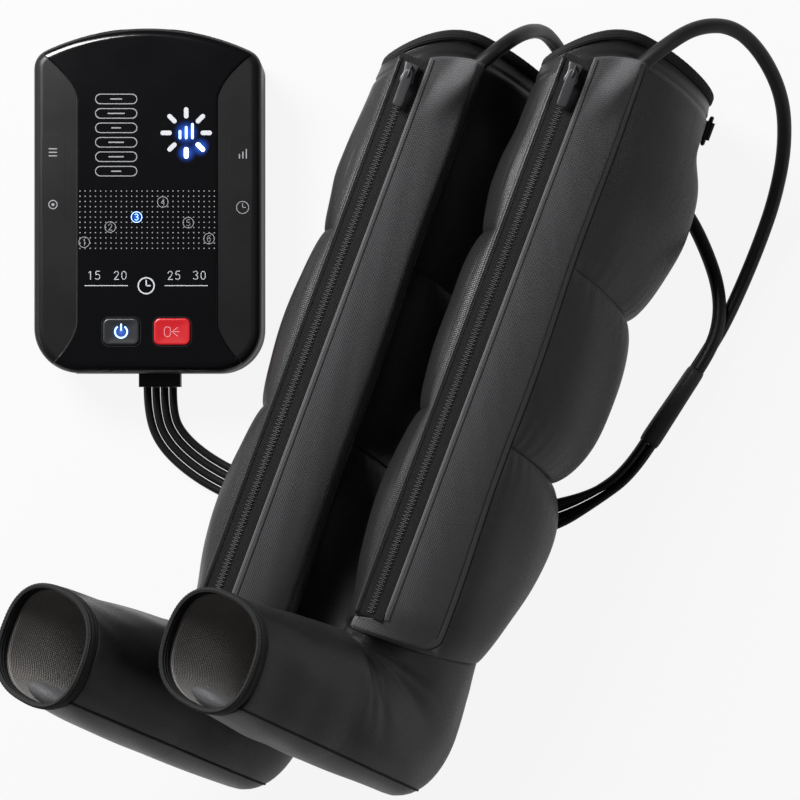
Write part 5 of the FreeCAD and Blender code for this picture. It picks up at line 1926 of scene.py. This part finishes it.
    def times(self, z: float) -> None:
        """Four numbers of minutes over two lines, with a clock between them.

        Args:
            z: Height of the marks' feet.
        """
        white = self.parts[Finish.WHITE_MARK]
        for minutes, u in (("15", 94.8), ("20", 121), ("25", 174.6), ("30", 200)):
            white += self.number(minutes, self.spot(u, 275.3), 8.2 * self.scale, z)
        for start, end in ((85.6, 128.5), (165.4, 208.1)):
            white.append(self.bar(self.spot(start, 285.6), self.spot(end, 285.6), 0.55, z))
        white += self.clock(self.spot(146.9, 285.7), 8.6 * self.scale, 0.95, z)

    def wings(self, z: float) -> None:
        """Icons on the touch strips: a clock and bars right, three lines and a ring left.

        Args:
            z: Height of the marks' feet.
        """
        dim = self.parts[Finish.DIM_MARK]
        dim += self.clock((69.9, -5.5), 4.7, 0.55, z)
        for i, high in enumerate((2.6, 4.3, 6.2)):
            x = 67.6 + i * 2.5
            dim.append(self.bar((x, 30.6), (x, 30.6 + high), 0.9, z))
            dim.append(self.bar((-71.5, 37.4 - 2.6 * i), (-66.0, 37.4 - 2.6 * i), 0.8, z))
        dim.append(self.hoop(self.disc((-68.7, -3.4), 3.4, 28), 0.7, z))
        dim.append(self.solid(self.disc((-68.7, -3.4), 1.1, 16), z))

    def power_sign(self, z: float) -> None:
        """Power sign on its cap, over a pool of light: an open ring and a stroke.

        Args:
            z: Height of the cap's face.
        """
        x, y = self.unit.buttons["power"]
        self.glow("power_glow", (x, y), 8.5, z + 0.06, [((x, y), 8.5)], Finish.CAP_GLOW,
                  "button_grey", "power_button")
        z += self.gap
        t = np.linspace(math.radians(125), math.radians(415), 40)
        inner, outer = (np.column_stack([arc((x, y), r, t), 0 * t + z]) for r in (3.9, 5.0))
        rise = np.array([0, 0, 0.2])
        grid = np.stack([inner, inner + rise, outer + rise, outer], 1)
        ring = (self.unit.put(grid).reshape(-1, 3), quads(len(t), 4, False) + caps(len(t), 4))
        stroke = self.bar((x, y + 1.2), (x, y + 5.4), 1.1, z + 0.1)
        publish("power_sign", joined([ring, stroke]), Finish.BLUE_MARK,
                body="power_button")

    def release_sign(self, z: float) -> None:
        """Air-release sign on its cap: a cushion outline with three strokes that leave it.

        Args:
            z: Height of the cap's face.
        """
        x, y = self.unit.buttons["release"]
        z += self.gap
        parts = [self.hoop(rounded(5.0, 7.6, 2.3, 8) + [x - 3.4, y], 0.5, z),
                 self.bar((x - 1.4, y), (x + 1.0, y), 0.5, z)]
        for angle in (-38, 0, 38):
            c, s = math.cos(math.radians(angle)), math.sin(math.radians(angle))
            parts.append(self.bar((x + 1.2 * c, y + 1.2 * s), (x + 5.2 * c, y + 5.2 * s), 0.5, z))
        # The pink sign's faint emission is painted light on printed ink.
        publish("release_sign", joined(parts), Finish.PINK_MARK, body="release_button")

    def build(self) -> None:
        """Collects every mark by finish, publishes each collection, then glows and signs."""
        z = self.unit.panel_face + self.gap
        for draw in (self.modes, self.strokes, self.chart, self.times):
            draw(z)
        self.wings(self.unit.face + self.gap)
        # printed_marks and faint_marks glow faintly through their finishes: painted light on printed ink.
        names = ("printed_marks", "faint_marks", "lit_marks", "pale_lit_marks")
        for name, (finish, parts) in zip(names, self.parts.items()):
            publish(name, joined(parts), finish)
        low = self.unit.panel_face + 0.005
        x, y = self.spot(*self.burst)
        lights = [((x, y), 10.5)]
        lights += [((x, y) + 20 * self.scale * self.ray(i), 8.0) for i in self.lit_strokes]
        self.glow("burst_glow", (x - 1, y - 5), 18.8, low, lights)
        spot = self.spot(*self.numbers[self.lit_number])
        self.glow("number_glow", spot, 5.0, low + 0.004, [(spot, 5.0)])
        cap = self.unit.panel_face + self.unit.cap_rise + 0.02 - 0.45
        self.power_sign(cap)
        self.release_sign(cap)


# ---- tubes and hoses
@dataclass
class AirLines:
    """Supply tubes, junction sleeve and boot hoses, in millimetres in the shared frame.

    Attributes:
        lift_from: Point of the route from which the outer tubes lie on the inner ones.
        bundle_from: Point of the route from which they lie two on two.
        gland_yaw: Direction in which the hoses leave their glands.
        sleeve_start: Width of the square end of the sleeve.
        sleeve_end: Width and height of its other end.
        supply, right, left: Routes of the supply tubes' middle and of each boot's hose.
    """

    tube: float = 6.0
    pitch: float = 6.4
    hose: float = 10.4
    lift_from: int = 8
    bundle_from: int = 10
    tube_lengths: tuple = (417, 429, 445, 458)
    hose_lengths: dict = field(default_factory=lambda: {"right": 383, "left": 448})
    gland_yaw: float = math.radians(30)
    sleeve_start: float = 15.2
    sleeve_end: tuple = (12.8, 24.0)
    supply: tuple = ((-80.2, -48.1, 14), (-73.7, -65.5, 14), (-60.3, -82.2, 8), (-33.3, -93.7, 3.6),
                     (1.7, -98.7, 3.1), (47.7, -98.2, 3.1), (94.7, -90.7, 3.1), (141.7, -77.2, 3.1),
                     (187.7, -60.1, 3.1), (227.7, -38.1, 3.1), (256.2, -10.2, 3.4),
                     (272.8, 15.4, 4.4), (278.2, 40.1, 4.4))
    right: tuple = ((292.5, 105.1, 6.7), (296.8, 124.6, 6.7), (300.5, 145.3, 7), (302.5, 175, 10),
                    (302.5, 209, 20), (300, 243.4, 33), (291.5, 278, 52), (274.4, 307, 78),
                    (247, 326, 105), (219, 332, 131), (194, 319, 155))
    left: tuple = ((292.5, 105.1, 17.6), (296.8, 124.6, 17.6), (294.7, 147.8, 16.8),
                   (286.2, 168.8, 12), (271.7, 188.8, 6.5), (250.7, 209.8, 5.3),
                   (226.7, 225.8, 5.3), (201.7, 240.3, 6.5), (175.7, 252.8, 13),
                   (149, 266, 24), (124, 278, 42), (107, 288, 66), (95, 288.5, 95),
                   (84, 278, 130))

    def line(self, name: str, points: Points, diameter: float, length: float, node: str) -> None:
        """One hose on a smooth curve with the route's points as its controls.

        Args:
            name: Name of the piece.
            points: Route.
            diameter: Its diameter.
            length: Not used.
            node: CAD node that it replaces.
        """
        curve = bpy.data.curves.new(name, "CURVE")
        curve.dimensions = "3D"
        spline = curve.splines.new("NURBS")
        spline.points.add(len(points) - 1)
        spline.points.foreach_set("co", np.column_stack([points * MM, np.ones(len(points))]).ravel())
        spline.order_u = 3
        spline.use_endpoint_u = True
        curve.resolution_u = 14
        curve.bevel_depth = diameter / 2 * MM
        curve.bevel_resolution = 6
        curve.use_fill_caps = True
        obj = publish(name, curve, Finish.TUBE, stands_for=[node])
        tuple(points[0] * MM)

    def supply_points(self, index: int) -> Points:
        """Route of one of the four supply tubes: side by side, then two on two.

        Args:
            index: Number of the tube, from 0.

        Returns:
            Its route.
        """
        centre = np.array(self.supply, float)
        around = np.concatenate([centre[:1], centre, centre[-1:]])
        ahead = unit((around[2:] - around[:-2])[:, :2])
        side = np.column_stack([-ahead[:, 1], ahead[:, 0], np.zeros(len(centre))])
        order = np.arange(len(centre))
        pair = 0.5 if index < 2 else -0.5
        shift = np.where(order < self.bundle_from, 1.5 - index, pair) * self.pitch
        points = centre + side * shift[:, None]
        if index in (0, 3):
            points[order >= self.lift_from, 2] += self.pitch
        return points

    def gland_end(self, side: str) -> Points:
        """The last two points of a boot's hose, on the axis of its gland."""
        out = np.array([math.sin(self.gland_yaw), math.cos(self.gland_yaw), 0])
        return sum(cad_box(f"{side}_hose_gland")) / 2 + out * 5 + [out * 24, 0 * out]

    def build(self) -> None:
        """All lines and the sleeve."""
        for index, length in enumerate(self.tube_lengths):
            self.line(f"supply_line_{index + 1}", self.supply_points(index), self.tube, length,
                      f"supply_tube_{index + 1}")
        for side, route in (("right", self.right), ("left", self.left)):
            self.line(f"{side}_hose", np.concatenate([route, self.gland_end(side)]), self.hose,
                      self.hose_lengths[side], f"{side}_boot_hose")
        self.build_sleeve()

    def build_sleeve(self) -> None:
        """Shrink sleeve: a rounded rectangle that changes its size along its run."""
        start, end = np.array(self.supply[-1][:2]), np.array(self.right[0][:2])
        length = np.linalg.norm(end - start)
        along = (end - start) / length
        across = np.array([-along[1], along[0]])
        t = np.linspace(0, 1, 40)[:, None]
        width, high = ((self.sleeve_start + (size - self.sleeve_start) * smooth(t, 0, 1)) / 2
                       for size in self.sleeve_end)
        ease = 1 - 0.10 * (np.exp(-t / 0.03) + np.exp(-(1 - t) / 0.03))
        c, s = boxy(circle(40), 0.6)
        flat = (start + along * (0.3 + t * (length - 0.6)))[:, None]
        flat = flat + across * (width * ease * c)[..., None]
        points = np.concatenate([flat, (0.15 + high + high * ease * s)[..., None]], 2)
        publish("junction_sleeve", Surface(points * MM), Finish.SLEEVE,
                stands_for=["hose_sleeve"])


# ---- the rest
CARRIED = {
    Finish.BACK: ("pump_back_shell",), Finish.BEZEL: ("button_bezels",),
    Finish.BOARD: ("display_board", "main_board"),
    Finish.STEEL: ("air_pump_motor", "casing_screws"),
    Finish.PALE: ("air_pump_head", "valve_manifold"), Finish.WRAP: ("battery_pack",),
    Finish.RUBBER: ("motor_mounts", "rubber_feet"),
    Finish.PORT: ("button_switches", "solenoid_valves", "outlet_port", "tube_plug",
                  "charging_socket", "right_hose_gland", "left_hose_gland"),
}


def dress_nodes() -> None:
    """Gives every CAD node that still shows its finish."""
    for finish, names in CARRIED.items():
        for name in names:
            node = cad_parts[name]
            node.data.materials.clear()
            node.data.materials.append(finish.material())


@dataclass(frozen=True)
class Lamp:
    """A rectangular soft lamp, in metres and watts."""

    name: str
    spot: tuple[float, float, float]
    length: float
    height: float
    power: float

    def build(self, aim: tuple[float, float, float]) -> None:
        """Adds the lamp, turned to the point that it faces.

        Args:
            aim: The point.
        """
        light = bpy.data.lights.new(self.name, "AREA")
        light.shape, light.energy = "RECTANGLE", self.power
        light.size, light.size_y = self.length, self.height
        obj = bpy.data.objects.new(self.name, light)
        bpy.context.scene.collection.objects.link(obj)
        obj.location = self.spot
        obj.rotation_euler = (Vector(aim) - Vector(self.spot)).to_track_quat("-Z", "Y").to_euler()


@dataclass
class Studio:
    """Pale floor, soft lamps and the camera straight above.

    Attributes:
        turn: Turn of the camera, that of the control unit.
        lens: Focal length in millimetres.
        aim: Point that the lamps face.
        sky, sky_power: Colour and strength of the light from all round.
        floor_size: Half the side of the floor.
    """

    eye: tuple = (0.09167, 0.00585, 1.682)
    turn: float = math.radians(20.5)
    lens: float = 100
    aim: tuple = (0.05, 0.0, 0.05)
    sky: tuple = (0.93, 0.95, 1.0)
    sky_power: float = 0.07
    floor_size: float = 30.0
    floor_drop: float = 0.0002
    floor_grey: float = 0.36
    lamps: tuple[Lamp, ...] = (
        Lamp("key", (-1.15, 0.65, 1.3), 0.8, 0.8, 70), Lamp("left", (-1.4, -0.2, 0.5), 1.6, 0.4, 6),
        Lamp("right", (1.7, 0.1, 0.15), 1.6, 0.2, 0.6), Lamp("side", (1.3, 0.2, 0.72), 1.2, 0.16, 2.6))

    def build(self) -> None:
        """Floor, lamps, world and camera."""
        self.floor()
        for lamp in self.lamps:
            lamp.build(self.aim)
        scene = bpy.context.scene
        scene.world = bpy.data.worlds.new("studio")
        scene.world.use_nodes = True
        back = scene.world.node_tree.nodes["Background"]
        back.inputs["Color"].default_value = (*self.sky, 1)
        back.inputs["Strength"].default_value = self.sky_power
        camera = bpy.data.cameras.new("camera")
        camera.lens, camera.sensor_width = self.lens, 36
        eye = bpy.data.objects.new("camera", camera)
        eye.location = self.eye
        eye.rotation_euler = (0, 0, self.turn)
        scene.collection.objects.link(eye)
        scene.camera = eye
        scene.view_settings.view_transform = "Standard"

    def floor(self) -> None:
        """A wide pale floor that shows nearly white to the camera and keeps soft shadows.

        Reflections and light that passes through see a part of the white too.
        """
        g = Graph("floor")
        ray = g.make("ShaderNodeLightPath", out="Is Camera Ray")
        for kind in ("Is Glossy Ray", "Is Transmission Ray"):
            ray = ray + g.make("ShaderNodeLightPath", out=kind) * 0.45
        plain = g.make("ShaderNodeBsdfDiffuse", {"Color": (*[self.floor_grey] * 3, 1)})
        white = g.make("ShaderNodeEmission", {"Color": (1, 1, 1, 1), "Strength": 1.0})
        mix = g.make("ShaderNodeMixShader", {0: ray * 0.9, 1: plain, 2: white})
        g.make("ShaderNodeOutputMaterial", {"Surface": mix})
        corners = np.array([[-1, -1], [1, -1], [1, 1], [-1, 1]]) * self.floor_size
        mesh = joined([(np.column_stack([corners, np.full(4, -self.floor_drop)]), [[0, 1, 2, 3]])])
        obj = bpy.data.objects.new("floor", mesh)
        mesh.materials.append(g.material)
        bpy.context.scene.collection.objects.link(obj)


def write_sizes() -> None:
    def plain(box: tuple) -> list:
        """A box as lists."""
        return [[float(v) for v in corner] for corner in box]


def main() -> None:
    """Builds everything in order."""
    Studio().build()
    AirLines().build()
    ControlUnit().build()
    Boot("right", (123.67, -265.15, 12), seed=1).build()
    Boot("left", (19.67, -302.15, 0), seed=5).build()
    dress_nodes()
    write_sizes()


if __name__ == "__main__":
    main()
